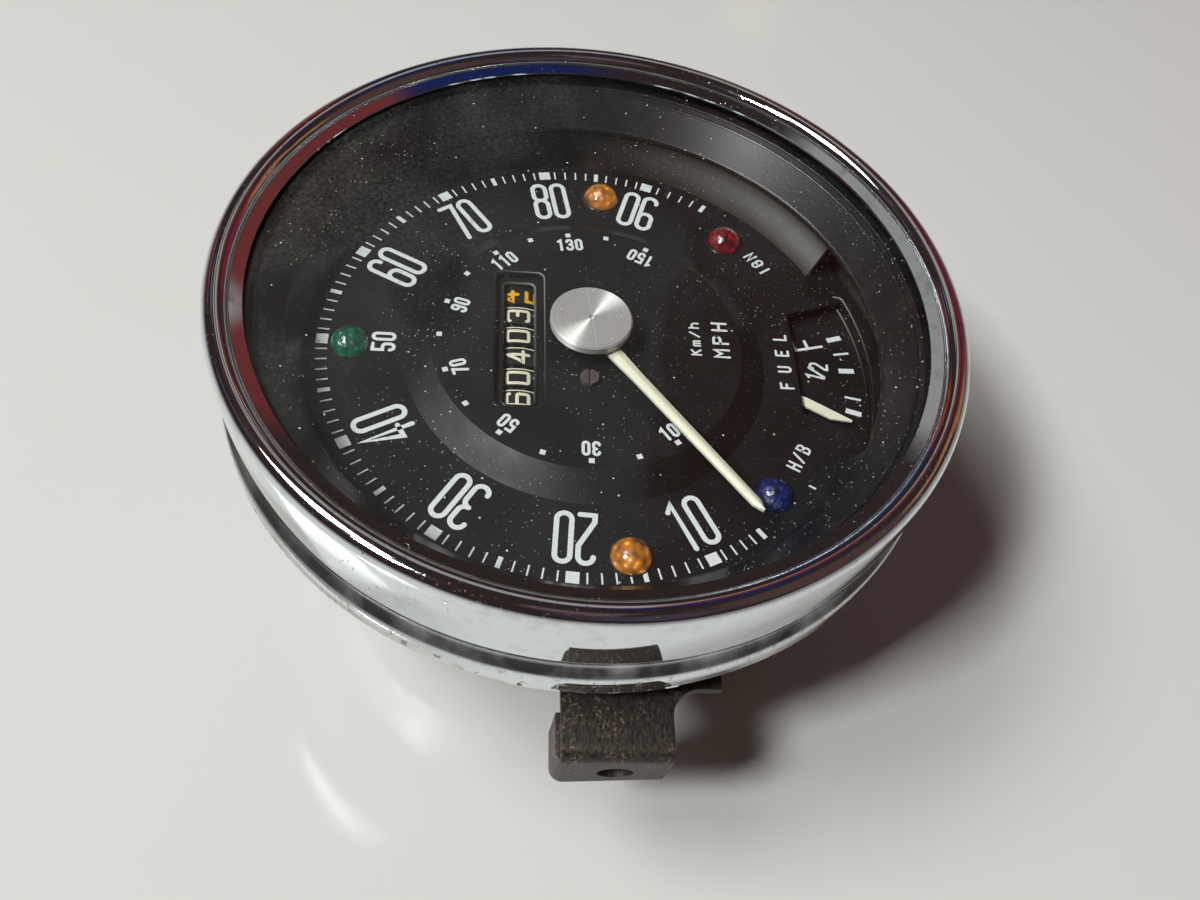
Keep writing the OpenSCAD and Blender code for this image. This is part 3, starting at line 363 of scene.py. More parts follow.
@dataclass(frozen=True)
class Chrome:
    """Bright plating with pits, bright flecks, and rust along the ring's rear rim, with painted shade in the
    groove above the rim and painted darker reflections on the skirt's sides.
    """

    name: str = "chrome_plating"
    rim_top_mm: float = 57.4
    bead_mm: float = 75.0
    clean: Colour = (0.80, 0.84, 0.88)
    dull: Colour = (0.36, 0.36, 0.36)
    tarnished: Colour = (0.34, 0.355, 0.37)
    dirt: Colour = (0.035, 0.028, 0.03)
    rust: Colour = (0.10, 0.05, 0.028)
    pit_mm: float = 0.05
    blister_rise: float = 3.0

    def build(self) -> bpy.types.Material:
        """Builds the finish.

        Returns:
            The material.
        """
        sketch = MaterialSketch(self.name)
        height, left = sketch.axis("Z"), sketch.axis("Y")
        rim_top, bead = self.rim_top_mm, self.bead_mm
        patch = sketch.noise(0.045, 5)
        pitted = sketch.times(sketch.specks(0.8, 0.13), sketch.span(patch, 0.50, 0.58))
        crowd = sketch.times(sketch.specks(1.1, 0.24), sketch.span(patch, 0.50, 0.60))
        on_bead = sketch.span(height, (bead - 1.5) * MM, bead * MM)
        blisters = sketch.times(sketch.most(sketch.specks(0.30, 0.10), crowd), on_bead)
        on_rim = sketch.span(height, (rim_top + 1) * MM, (rim_top - 4) * MM, 0.0, 0.9)
        rusty = sketch.times(sketch.span(sketch.noise(0.55, 6), 0.585, 0.64), on_rim)
        # Painted shade: the colour is darkened, in uneven patches, in the groove between the skirt and the
        # rear rim, where the ring lies in shade.
        groove = sketch.times(sketch.span(height, (rim_top - 0.4) * MM, rim_top * MM),
                              sketch.span(height, (rim_top + 2.6) * MM, (rim_top + 1.6) * MM))
        groove_shade = sketch.times(groove, sketch.span(sketch.noise(0.12, 5), 0.30, 0.55, 0.62, 0.95))
        hazy = sketch.span(sketch.noise(0.3, 8), 0.52, 0.8, 0.0, 0.45)
        # Painted reflection: below the bead the colour turns a darker grey towards both sides, standing in
        # for the darker surroundings that the skirt mirrors there.
        sides = sketch.most(sketch.span(left, 18 * MM, 44 * MM),
                            sketch.span(left, -12 * MM, -45 * MM, 0.0, 0.55))
        side_reflection = sketch.times(sides, sketch.span(height, (bead - 3) * MM, (bead - 6) * MM))
        worn = sketch.most(rusty, pitted)
        colour = sketch.mix(hazy, self.clean, self.dull)
        for share, tone in ((side_reflection, self.tarnished), (groove_shade, self.dirt), (worn, self.rust)):
            colour = sketch.mix(share, colour, tone)
        rough = sketch.most(sketch.span(hazy, 0, 0.45, 0.045, 0.13),
                            sketch.times(sketch.most(worn, groove_shade), 0.5))
        metallic = sketch.span(rusty, 0, 1, 1.0, 0.2)
        relief = sketch.plus(sketch.math("SUBTRACT", 1.0, worn), sketch.times(blisters, self.blister_rise))
        return sketch.principled(Base_Color=colour, Metallic=metallic, Roughness=rough,
                                 Normal=sketch.bump(relief, self.pit_mm))


@dataclass(frozen=True)
class DustyGlass:
    """Clear flat glass with dust, fine specks and a haze towards its top."""

    name: str = "dusty_glass"
    tint: Colour = (0.97, 0.98, 0.975)
    dust: Colour = (0.62, 0.61, 0.57)
    refraction: float = 1.45
    haze: float = 0.075
    haze_lean: float = 0.55
    rim_from_mm: float = 46.904
    rim_full_mm: float = 58.310
    least_dust: float = 0.002

    def build(self) -> bpy.types.Material:
        """Builds the finish.

        Returns:
            The material.
        """
        sketch = MaterialSketch(self.name)
        x, y = sketch.axis("X"), sketch.axis("Y")
        film = sketch.span(sketch.noise(1.3, 5), 0.40, 0.72, 0.25, 1.0)
        cloud = sketch.span(sketch.noise(0.05, 4), 0.36, 0.66, 0.15, 1.0)
        top_left = sketch.span(sketch.plus(y, sketch.times(x, self.haze_lean)), 10 * MM, 62 * MM)
        haze = sketch.times(film, cloud, top_left, self.haze)
        fine = sketch.times(sketch.specks(1.25, 0.11), 0.6)
        middling = sketch.times(sketch.specks(0.72, 0.088), 0.85)
        large = sketch.times(sketch.specks(0.31, 0.055), 0.9)
        rim = sketch.span(sketch.plus(sketch.times(x, x), sketch.times(y, y)),
                          (self.rim_from_mm * MM) ** 2, (self.rim_full_mm * MM) ** 2)
        low_right = sketch.times(rim, sketch.span(y, 5 * MM, -30 * MM))
        thick = sketch.most(low_right, sketch.span(sketch.noise(0.06, 3), 0.42, 0.62, 0.10, 0.8))
        specks = sketch.most(sketch.times(sketch.most(fine, middling), thick), large)
        dust = sketch.plus(sketch.most(haze, specks), self.least_dust)
        front = sketch.math("SUBTRACT", 1.0, sketch.add("ShaderNodeNewGeometry").outputs["Backfacing"])
        mirrored = sketch.times(sketch.run("ShaderNodeFresnel", IOR=self.refraction), front)
        pane = sketch.layer(mirrored, sketch.run("ShaderNodeBsdfTransparent", Color=self.tint),
                            sketch.run("ShaderNodeBsdfGlossy", Roughness=0.02))
        return sketch.show(sketch.layer(dust, pane, sketch.run("ShaderNodeBsdfDiffuse", Color=self.dust)))


@dataclass(frozen=True)
class Jewel:
    """A cast coloured lens with a faint painted glow, though no lamp behind it is lit, and ripples inside
    painted in lit and shaded tones.
    """

    name: str
    colour: Colour
    glow: float
    cells_per_mm: float = 0.75
    ripple_mm: float = 0.3

    def build(self) -> bpy.types.Material:
        """Builds the finish.

        Returns:
            The material.
        """
        sketch = MaterialSketch(self.name)
        cells = sketch.add("ShaderNodeTexVoronoi", feature="SMOOTH_F1")
        sketch.feed(cells.inputs["Vector"], sketch.place)
        sketch.feed(cells.inputs["Scale"], self.cells_per_mm / MM)
        ripple = sketch.span(cells.outputs["Distance"], 0.05, 0.75)
        # Painted light: the ripples get lit and shaded copies of the lens colour, and the emission paints
        # the glow.
        shaded = tuple(c * 0.12 for c in self.colour)
        lit = tuple(min(1.0, c * 1.9) for c in self.colour)
        colour = sketch.mix(ripple, sketch.mix(sketch.span(ripple, 0.0, 0.35), lit, self.colour), shaded)
        return sketch.principled(Base_Color=colour, Roughness=0.32, Specular_IOR_Level=0.9,
                                 Coat_Weight=1.0, Coat_Roughness=0.10, Emission_Color=colour,
                                 Emission_Strength=self.glow, Normal=sketch.bump(ripple, self.ripple_mm))


@dataclass(frozen=True)
class TurnedCap:
    """Aluminium turned on a lathe, with a scratch straight across it."""

    name: str = "turned_aluminium"
    dark: Colour = (0.62, 0.60, 0.57)
    pale: Colour = (0.86, 0.85, 0.81)
    bared: Colour = (0.95, 0.94, 0.9)
    rings_per_mm: float = 6.0
    ring_mm: float = 0.004
    scratch_deg: float = 6.0
    scratch_half_mm: float = 0.07

    def build(self) -> bpy.types.Material:
        """Builds the finish.

        Returns:
            The material.
        """
        sketch = MaterialSketch(self.name)
        x, y = sketch.axis("X"), sketch.axis("Y")
        rings = sketch.add("ShaderNodeTexNoise", noise_dimensions="1D")
        far = sketch.math("SQRT", sketch.plus(sketch.times(x, x), sketch.times(y, y)))
        sketch.feed(rings.inputs["W"], far)
        sketch.feed(rings.inputs["Scale"], self.rings_per_mm / MM)
        ring = rings.outputs[0]
        lean = math.radians(self.scratch_deg)
        across = sketch.math("SUBTRACT", sketch.times(y, math.cos(lean)), sketch.times(x, math.sin(lean)))
        scratch = sketch.math("LESS_THAN", sketch.math("ABSOLUTE", across), self.scratch_half_mm * MM)
        tone = sketch.mix(scratch, sketch.mix(sketch.span(ring, 0.3, 0.7), self.dark, self.pale), self.bared)
        tangent = sketch.add("ShaderNodeTangent", direction_type="RADIAL", axis="Z").outputs[0]
        return sketch.principled(Base_Color=tone, Metallic=0.5, Roughness=0.5, Anisotropic=0.95,
                                 Anisotropic_Rotation=0.25, Tangent=tangent,
                                 Normal=sketch.bump(ring, self.ring_mm))


@dataclass(frozen=True)
class WeatheredSteel:
    """Dark bracket steel with pale scuffs and fine specks along its grain."""

    name: str = "weathered_steel"
    dark: Colour = (0.026, 0.020, 0.017)
    brown: Colour = (0.078, 0.063, 0.050)
    pale: Colour = (0.32, 0.26, 0.18)
    grain_mm: float = 0.03

    def build(self) -> bpy.types.Material:
        """Builds the finish.

        Returns:
            The material.
        """
        sketch = MaterialSketch(self.name)
        grain = sketch.noise(2.2, 4, (0.35, 1.0, 1.0))
        scuff = sketch.span(sketch.noise(0.16, 7), 0.46, 0.68)
        flecks = sketch.span(sketch.noise(1.7, 5), 0.56, 0.66)
        base = sketch.mix(sketch.span(grain, 0.3, 0.7), self.dark, self.brown)
        return sketch.principled(Base_Color=sketch.mix(sketch.times(flecks, scuff), base, self.pale),
                                 Metallic=0.55, Roughness=sketch.span(grain, 0.3, 0.7, 0.38, 0.62),
                                 Normal=sketch.bump(grain, self.grain_mm))


@dataclass(frozen=True)
class StudioFloor:
    """Pale floor that keeps its colour in the camera and in reflections."""

    name: str = "pale_floor"
    seen: Colour = (0.700, 0.712, 0.668)
    thrown: Colour = (0.42, 0.42, 0.41)

    def build(self) -> bpy.types.Material:
        """Builds the finish.

        Returns:
            The material.
        """
        sketch = MaterialSketch(self.name)
        tone = sketch.mix(sketch.noise(0.004, 2), self.seen, tuple(c * 0.97 for c in self.seen))
        path = sketch.add("ShaderNodeLightPath").outputs
        looked_at = sketch.most(path["Is Camera Ray"], path["Is Glossy Ray"], path["Is Transmission Ray"])
        return sketch.principled(Base_Color=sketch.mix(looked_at, self.thrown, tone), Roughness=0.10,
                                 Specular_IOR_Level=0.5)


class MeshMaker:
    """Collects vertices and faces of one piece in millimetres and turns them into an object."""

    def __init__(self, name: str) -> None:
        """Starts an empty piece.

        Args:
            name: the piece's name.
        """
        self.name = name
        self.points: list[Point3] = []
        self.faces: list[tuple[int, ...]] = []

    def grid(self, rows: Sequence[Sequence[Point3]], close_rows: bool = False,
             close_columns: bool = False) -> None:
        """Adds a quad grid.

        Args:
            rows: rows of points, all of one length.
            close_rows: joins the last row to the first.
            close_columns: joins the last point of each row to its first.
        """
        start, width = len(self.points), len(rows[0])
        for row in rows:
            self.points.extend(row)
        for i in range(len(rows) if close_rows else len(rows) - 1):
            for j in range(width if close_columns else width - 1):
                a, b = i * width, ((i + 1) % len(rows)) * width
                k = (j + 1) % width
                self.faces.append(tuple(start + n for n in (a + j, a + k, b + k, b + j)))

    def cap(self, ring: Sequence[Point3]) -> None:
        """Adds one flat face."""
        self.faces.append(tuple(range(len(self.points), len(self.points) + len(ring))))
        self.points.extend(ring)

    def bar(self, rows: Sequence[Sequence[Point3]], close_columns: bool = True) -> None:
        """Adds a quad grid with a flat face at either end.

        Args:
            rows: rows of points, all of one length.
            close_columns: joins the last point of each row to its first.
        """
        self.grid(rows, close_columns=close_columns)
        self.cap(rows[0])
        self.cap(rows[-1])

    def lathe(self, section: Sequence[Point2], turns: int, centre: Point2 = (0.0, 0.0)) -> None:
        """Adds a ring: a closed section of radius and height, set round an upright axis in turns."""
        rows = [swung(section, TAU * i / turns, centre) for i in range(turns)]
        self.grid(rows, close_rows=True, close_columns=True)

    def bead(self, route: Sequence[tuple[Point2, float]], radius: float, z: float, closed: bool) -> None:
        """Adds a round bead along a level route.

        Args:
            route: its points, each with the way across the route there, in radians.
            radius: the bead's radius.
            z: height of its middle.
            closed: whether the route runs round to its start.
        """
        # Ten points round the bead, 36 degrees apart
        section = [(r, z + h) for r, h in arc((0, 0), radius, 0, 324, 9)]
        rows = [swung(section, way, spot) for spot, way in route]
        if closed:
            self.grid(rows, close_rows=True, close_columns=True)
        else:
            self.bar(rows)

    def finish(self, material: bpy.types.Material, body: str, slot: str, smooth_deg: float = 35.0,
               ) -> bpy.types.Object:
        """Makes the object, dresses it and hangs it on its body.

        Args:
            material: its finish.
            body: the body that it rides on.
            slot: the record's material slot; not used.
            smooth_deg: edges sharper than this stay sharp.

        Returns:
            The new object.
        """
        mesh = bpy.data.meshes.new(self.name)
        mesh.from_pydata([tuple(c * MM for c in p) for p in self.points], [], self.faces)
        made = bmesh.new()
        made.from_mesh(mesh)
        bmesh.ops.remove_doubles(made, verts=made.verts, dist=1e-7)
        bmesh.ops.recalc_face_normals(made, faces=made.faces)
        made.to_mesh(mesh)
        made.free()
        mesh.materials.append(material)
        piece = bpy.data.objects.new(self.name, mesh)
        bpy.context.scene.collection.objects.link(piece)
        for polygon in mesh.polygons:
            polygon.use_smooth = True
        mesh.set_sharp_from_angle(angle=math.radians(smooth_deg))
        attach(piece, body)
        LOG.info("%s: %d faces on %s", self.name, len(mesh.polygons), body)
        return piece


def arc(centre: Point2, radius: float, start: float, stop: float, steps: int = 10) -> list[Point2]:
    """Points along an arc.

    Args:
        centre: the arc's centre.
        radius: its radius.
        start: its first angle in degrees, counterclockwise from +x.
        stop: its last angle in degrees.
        steps: how many chords it has.

    Returns:
        The points, first and last included.
    """
    return [(centre[0] + radius * math.cos(math.radians(start + (stop - start) * i / steps)),
             centre[1] + radius * math.sin(math.radians(start + (stop - start) * i / steps)))
            for i in range(steps + 1)]


def swung(section: Sequence[Point2], angle: float, centre: Point2 = (0.0, 0.0)) -> list[Point3]:
    """A section of radius and height, turned from +x about an upright axis by radians."""
    c, s = math.cos(angle), math.sin(angle)
    return [(centre[0] + r * c, centre[1] + r * s, h) for r, h in section]


@dataclass(frozen=True)
class StrokeFigures:
    """Figures and capitals drawn as round-ended strokes in a box."""

    width: float
    height: float
    stroke: float
    corner: float = 10.0

    def strokes(self, sign: str) -> list[tuple[list[Point2], bool]]:
        """The strokes of one sign.

        Args:
            sign: a figure, a capital letter or one of the few other signs.

        Returns:
            Lists of points, each with whether the stroke is closed.
        """
        # The box's sides, its size, its middle height and middle, and the corner radius
        half = self.stroke / 2
        l, r, b, t = half, self.width - half, half, self.height - half
        w, h = r - l, t - b
        m, x = b + 0.53 * h, (l + r) / 2
        q = min(w / 2, h / 4, self.corner)
        # Quarter rounds of the box, and those that meet at its middle height
        ne, nw = arc((r - q, t - q), q, 0, 90), arc((l + q, t - q), q, 90, 180)
        sw, se = arc((l + q, b + q), q, 180, 270), arc((r - q, b + q), q, 270, 360)
        low_ne, low_nw = arc((r - q, m - q), q, 0, 90), arc((l + q, m - q), q, 90, 180)
        high_sw, high_se = arc((l + q, m + q), q, 180, 270), arc((r - q, m + q), q, 270, 360)
        low_ring, high_ring = low_ne + low_nw + sw + se, ne + nw + high_sw + high_se
        top_arch, low_arch = nw[::-1] + ne[::-1], se[::-1] + sw[::-1]
        bow, belly = ne[::-1] + high_se[::-1], [(r - q, m)] + low_ne[::-1]
        lines: dict[str, list[list[Point2]]] = {
            "1": [[(x - 0.32 * w, t - 0.14 * h), (x + 0.12 * w, t), (x + 0.12 * w, b)]],
            "2": [top_arch + [(r, m + 0.12 * h), (l, b + 0.14 * h), (l, b), (r, b)]],
            "3": [top_arch + high_se[::-1], [(x, m)] + belly + low_arch],
            "4": [[(x + 0.2 * w, b), (x + 0.2 * w, t), (l, b + 0.26 * h), (r, b + 0.26 * h)]],
            "5": [[(r, t), (l, t), (l, m)] + belly + low_arch],
            "6": [[(r, t - 1.1 * q)] + ne + nw + [(l, m - q)]],
            "7": [[(l, t), (r, t), (x - 0.1 * w, b)]],
            "9": [[(l, b + 1.1 * q)] + sw + se + [(r, m + q)]],
            "/": [[(l, b), (r, t)]],
            "F": [[(l, b), (l, t), (r, t)], [(l, m), (r - 0.2 * w, m)]],
            "E": [[(r, t), (l, t), (l, b), (r, b)], [(l, m), (r - 0.2 * w, m)]],
            "L": [[(l, t), (l, b), (r, b)]],
            "U": [[(l, t)] + sw + se + [(r, t)]],
            "H": [[(l, b), (l, t)], [(r, b), (r, t)], [(l, m), (r, m)]],
            "B": [[(l, m), (l, t)] + bow + [(l, m)],
                  [(l, m)] + belly + se[::-1] + [(l, b), (l, m)]],
            "M": [[(l, b), (l, t), (x, m), (r, t), (r, b)]],
            "P": [[(l, b), (l, t)] + bow + [(l, m)]],
            "K": [[(l, b), (l, t)], [(r, t), (l, m)], [(x - 0.2 * w, m + 0.1 * h), (r, b)]],
            "I": [[(x, b), (x, t)]],
            "G": [[(r, t - q)] + ne + nw + sw + se + [(r, m), (x, m)]],
            "N": [[(l, b), (l, t), (r, b), (r, t)]],
            "m": [[(l, b), (l, m + 0.1 * h)],
                  [(l, m)] + arc(((l + x) / 2, m), (x - l) / 2, 180, 0) + [(x, b)],
                  [(x, m)] + arc(((x + r) / 2, m), (r - x) / 2, 180, 0) + [(r, b)]],
            "h": [[(l, b), (l, t)], [(l, m - q / 2)] + arc((x, m - q / 2), w / 2, 180, 0) + [(r, b)]],
        }
        rings = {"0": [ne + nw + sw + se], "6": [low_ring], "8": [low_ring, high_ring], "9": [high_ring]}
        found = [(line, False) for line in lines.get(sign, [])]
        return found + [(ring, True) for ring in rings.get(sign, [])]


def tidy_path(path: Sequence[Point2], closed: bool) -> list[Point2]:
    """Drops points that lie on the one before them.

    Args:
        path: the points.
        closed: whether the path runs round to its start.

    Returns:
        The points that are left.
    """
    same = 1e-4
    kept: list[Point2] = []
    for point in path:
        if not kept or math.dist(point, kept[-1]) > same:
            kept.append(point)
    if closed and math.dist(kept[0], kept[-1]) < same:
        kept.pop()
    return kept


def ribbon(maker: MeshMaker, path: Sequence[Point2], closed: bool, stroke: float, place: Placer,
           base: float, thick: float) -> None:
    """Adds a flat ribbon with round ends along a path, as a closed solid.

    Args:
        maker: collects the mesh.
        path: points of its centreline.
        closed: whether it runs round to its start.
        stroke: its width.
        place: turns two plane coordinates and a height into a point.
        base: height of its underside.
        thick: its thickness.
    """
    points = tidy_path(path, closed)
    half, count = stroke / 2, len(points)
    left: list[Point2] = []
    right: list[Point2] = []
    for i, (px, py) in enumerate(points):
        before = points[i - 1] if closed or i else None
        after = points[(i + 1) % count] if closed or i < count - 1 else None
        ways = []
        for a, b in ((before, (px, py)), ((px, py), after)):
            if a is not None and b is not None:
                size = math.dist(a, b)
                ways.append(((b[0] - a[0]) / size, (b[1] - a[1]) / size))
        normals = [(-way[1], way[0]) for way in ways]
        nx, ny = sum(n[0] for n in normals), sum(n[1] for n in normals)
        # The mitre, no longer than twice the half width
        size = math.hypot(nx, ny) or 1.0
        nx, ny = nx / size, ny / size
        reach = half / max(0.5, nx * normals[0][0] + ny * normals[0][1])
        left.append((px + nx * reach, py + ny * reach))
        right.append((px - nx * reach, py - ny * reach))
    sides = [[place(*l, base), place(*l, base + thick), place(*r, base + thick), place(*r, base)]
             for l, r in zip(left, right)]
    maker.grid(sides, close_rows=closed, close_columns=True)
    if closed:
        return
    for end, other in ((0, 1), (-1, -2)):
        centre = points[end]
        out = math.atan2(centre[1] - points[other][1], centre[0] - points[other][0])
        tip = arc(centre, half, math.degrees(out) - 90, math.degrees(out) + 90, 6)
        maker.bar([[place(*p, z) for p in tip] for z in (base, base + thick)], close_columns=False)


def flat_placer(centre: Point2, turn_deg: float, z: float) -> Placer:
    """A placer for a label on a level surface, turned counterclockwise about its middle."""
    c, s = math.cos(math.radians(turn_deg)), math.sin(math.radians(turn_deg))
    return lambda x, y, h: (centre[0] + x * c - y * s, centre[1] + x * s + y * c, z + h)


def short_steps(path: Sequence[Point2], closed: bool, step: float) -> list[Point2]:
    """Splits a path's long sides so that it can bend round a drum.

    Args:
        path: its points.
        closed: whether it runs round to its start.
        step: the longest side allowed.

    Returns:
        The path with more points.
    """
    ends = list(path[1:]) + ([path[0]] if closed else [])
    split: list[Point2] = [] if closed else [path[0]]
    for (ax, ay), (bx, by) in zip(path, ends):
        count = max(1, math.ceil(math.dist((ax, ay), (bx, by)) / step))
        split.extend((ax + (bx - ax) * i / count, ay + (by - ay) * i / count) for i in range(1, count + 1))
    return split


def write_label(maker: MeshMaker, text: str, font: StrokeFigures, pitch: float, place: Placer,
                thick: float = PRINT_THICK, step: float = 100.0, lap: float = 0.004) -> None:
    """Adds a centred line of signs.

    Args:
        maker: collects the mesh.
        text: the signs.
        font: their form.
        pitch: distance from sign to sign.
        place: turns label coordinates into a point.
        thick: thickness of the print.
        step: longest straight side of a stroke.
        lap: how much thicker each next stroke of a sign is, so that no faces coincide.
    """
    start = -(pitch * (len(text) - 1) + font.width) / 2
    for index, sign in enumerate(text):
        dx = start + index * pitch
        for order, (path, closed) in enumerate(font.strokes(sign)):
            shifted = [(px + dx, py - font.height / 2) for px, py in tidy_path(path, closed)]
            ribbon(maker, short_steps(shifted, closed, step), closed, font.stroke, place, PRINT_LIFT,
                   thick + lap * order)


def mark(maker: MeshMaker, centre: Point2, turn_deg: float, size: Point2, z: float) -> None:
    """Adds one rectangular mark.

    Args:
        maker: collects the mesh.
        centre: its middle.
        turn_deg: its turn, counterclockwise.
        size: its width and height.
        z: height of the surface below it.
    """
    place = flat_placer(centre, turn_deg, z)
    x, y = size[0] / 2, size[1] / 2
    corners = ((-x, -y), (x, -y), (x, y), (-x, y))
    maker.bar([[place(*c, h) for c in corners] for h in (PRINT_LIFT, PRINT_LIFT + PRINT_THICK)])


@dataclass
class Ring:
    """The chromed ring, lathed with a smooth rolled bead, with its three clip tabs."""

    dial_z: float
    bezel_r: float = 66.7
    bead_r: float = 2.35
    opening_r: float = 60.0
    rim_r: float = 66.2
    sheet: float = 0.8
    turns: int = 360
    tab_middles: tuple[float, ...] = (180, 60, -60)
    tab_half_deg: float = 12.0
    tab_steps: int = 20
    tab_root_r: float = 65.4
    tab_in_r: float = 62.7

    def outline(self) -> list[Point2]:
        """Draws the section.

        Returns:
            Its closed outline as radius and height.
        """
        z = self.dial_z
        bead = (self.bezel_r - self.bead_r, z + 17.4)
        inner = self.bead_r - self.sheet
        rise = bead[1] - (z + 3.5)
        skirt = [(65.5 + (self.bezel_r - 65.5) * math.sin(math.pi / 2 * t), z + 3.5 + rise * t)
                 for t in (i / 14 for i in range(15))]
        hollow = [(65.12, z + 2.7), (64.88, z + 2.1), (64.7, z + 1.5)]
        return ([(self.opening_r, z + 17.0), (self.opening_r, z + 17.3), (61.0, z + 17.56),
                 (62.1, z + 17.85)]
                + arc(bead, self.bead_r, 160, 0, 30) + skirt[-2::-1] + hollow
                + [(65.5, z + 0.1), (66.1, z - 1.0), (self.rim_r, z - 1.3), (self.rim_r, z - 4.75),
                   (66.1, z - 4.85), (65.4, z - 4.85), (65.4, z - 1.2), (63.9, z + 1.5), (64.1, z + 2.3)]
                + [(r - self.sheet, h) for r, h in skirt]
                + arc(bead, inner, 20, 160, 12) + [(62.1, z + 17.0)])

    def build(self, material: bpy.types.Material) -> bpy.types.Object:
        """Makes the ring.

        Args:
            material: its plating.

        Returns:
            The piece, which stands for the ring's solid.
        """
        maker = MeshMaker("bezel_ring")
        maker.lathe(self.outline(), self.turns)
        low, root = self.dial_z - 4.85, self.tab_root_r
        section = [(self.tab_in_r, low - 0.72), (65.9, low - 0.75), (66.15, low - 0.55), (66.15, low + 0.2),
                   (65.45, low + 0.2), (root, low), (self.tab_in_r, low)]
        for middle in self.tab_middles:
            rows = []
            for i in range(self.tab_steps + 1):
                share = 2 * i / self.tab_steps - 1
                reach = 1.0 - 0.9 * abs(share) ** 3
                eased = [(r if r > root else root - (root - r) * reach, h) for r, h in section]
                rows.append(swung(eased, math.radians(middle + self.tab_half_deg * share)))
            maker.bar(rows)
        piece = maker.finish(material, Body.INSTRUMENT.value, "chrome", 50)
        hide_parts("bezel")
        return piece


@dataclass
class DialPrint:
    """Scale, figures and words printed on the dial."""

    dial_z: float
    disc_z: float
    tick_r: float = 48.5
    figure_r: float = 40.9
    fifty_r: float = 37.4
    dot_r: float = 27.3
    kmh_r: float = 24.7
    ten_mark: Point2 = (2.3, 2.2)
    five_mark: Point2 = (0.85, 2.2)
    one_mark: Point2 = (0.3, 2.1)
    mph_figures: StrokeFigures = StrokeFigures(3.5, 10.4, 0.92)
    small_fifty: StrokeFigures = StrokeFigures(2.1, 4.5, 0.66)
    kmh_figures: StrokeFigures = StrokeFigures(1.55, 3.15, 0.56)
    mph_in_kmh: float = 0.6214
    fives: dict[int, float] = field(default_factory=lambda: {
        5: -127, 10: -114.7, 15: -100.2, 20: -85.8, 25: -71.3, 30: -57, 35: -42.6, 40: -28.4, 45: -14.2,
        50: 0, 55: 14, 60: 27.8, 65: 41.6, 70: 55, 75: 68.2, 80: 81.2, 85: 94.1, 90: 106.9, 95: 122})

    def angle(self, mph: float) -> float:
        """Looks up where a speed of 5 to 95 stands.

        Args:
            mph: the speed.

        Returns:
            Its dial angle, clockwise from the top, in degrees.
        """
        low = min(int(mph // 5) * 5, 90)
        share = (mph - low) / 5
        return self.fives[low] * (1 - share) + self.fives[low + 5] * share

    def spot(self, radius: float, angle: float) -> Point2:
        """A point at a radius and a dial angle."""
        return radius * math.sin(math.radians(angle)), radius * math.cos(math.radians(angle))

    def upright(self, angle: float) -> float:
        """The turn of a figure at a dial angle, which stays readable low on the dial too."""
        return -angle + (180 if abs(angle) > 100 else 0)

    def scale(self, material: bpy.types.Material) -> bpy.types.Object:
        """Makes the ring of marks.

        Args:
            material: the ink.

        Returns:
            The piece.
        """
        maker = MeshMaker("mph_scale")
        for mph in range(5, 96):
            angle = self.angle(mph)
            size = self.ten_mark if mph % 10 == 0 else self.five_mark if mph % 5 == 0 else self.one_mark
            mark(maker, self.spot(self.tick_r, angle), -angle, size, self.dial_z)
        return maker.finish(material, Body.INSTRUMENT.value, "dial_black")

    def figures(self, material: bpy.types.Material) -> bpy.types.Object:
        """Makes the miles per hour figures.

        Args:
            material: the ink.

        Returns:
            The piece.
        """
        maker = MeshMaker("mph_figures")
        for mph in range(10, 100, 10):
            angle = self.angle(mph)
            font, radius = self.mph_figures, self.figure_r
            if mph == 50:
                font, radius = self.small_fifty, self.fifty_r
            place = flat_placer(self.spot(radius, angle), self.upright(angle), self.dial_z)
            write_label(maker, str(mph), font, font.width + 0.4, place)
        return maker.finish(material, Body.INSTRUMENT.value, "dial_black")

    def inner_scale(self, material: bpy.types.Material) -> bpy.types.Object:
        """Makes the kilometre dots and figures on the raised disc.

        Args:
            material: the ink.

        Returns:
            The piece.
        """
        maker = MeshMaker("kmh_scale")
        font = self.kmh_figures
        for kmh in range(10, 151, 10):
            angle = self.angle(kmh * self.mph_in_kmh)
            mark(maker, self.spot(self.dot_r, angle), -angle, (1.0, 1.0), self.disc_z)
            if kmh % 20 == 10:
                place = flat_placer(self.spot(self.kmh_r, angle), self.upright(angle), self.disc_z)
                write_label(maker, str(kmh), font, font.width + 0.28, place)
        return maker.finish(material, Body.INSTRUMENT.value, "dial_black")

    def words(self, material: bpy.types.Material) -> bpy.types.Object:
        """Makes the words for the units, the fuel gauge and the lamps.

        Args:
            material: the ink.

        Returns:
            The piece.
        """
        maker = MeshMaker("dial_words")
        rows = [("Km/h", StrokeFigures(1.5, 2.1, 0.36), 2.2, (1.7, -20.3), 0, self.disc_z),
                ("MPH", StrokeFigures(2.2, 3.2, 0.5), 3.3, (1.7, -25.2), 0, self.disc_z),
                ("FUEL", StrokeFigures(1.6, 2.8, 0.46), 4.0, (0.2, -38.0), 0, self.dial_z),
                ("H/B", StrokeFigures(1.5, 2.8, 0.42), 2.2, (-22.4, -38.0), -30, self.dial_z),
                ("IGN", StrokeFigures(1.6, 2.8, 0.46), 2.3, (25.9, -35.9), 35, self.dial_z)]
        for word, font, pitch, centre, turn, z in rows:
            write_label(maker, word, font, pitch, flat_placer(centre, turn, z))
        mark(maker, (-28.7, -39.6), -30, (0.35, 1.4), self.dial_z)
        return maker.finish(material, Body.INSTRUMENT.value, "dial_black")

    def build(self, material: bpy.types.Material) -> None:
        """Makes all of the printing.

        Args:
            material: the ink.
        """
        self.scale(material)
        self.figures(material)
        self.inner_scale(material)
        self.words(material)


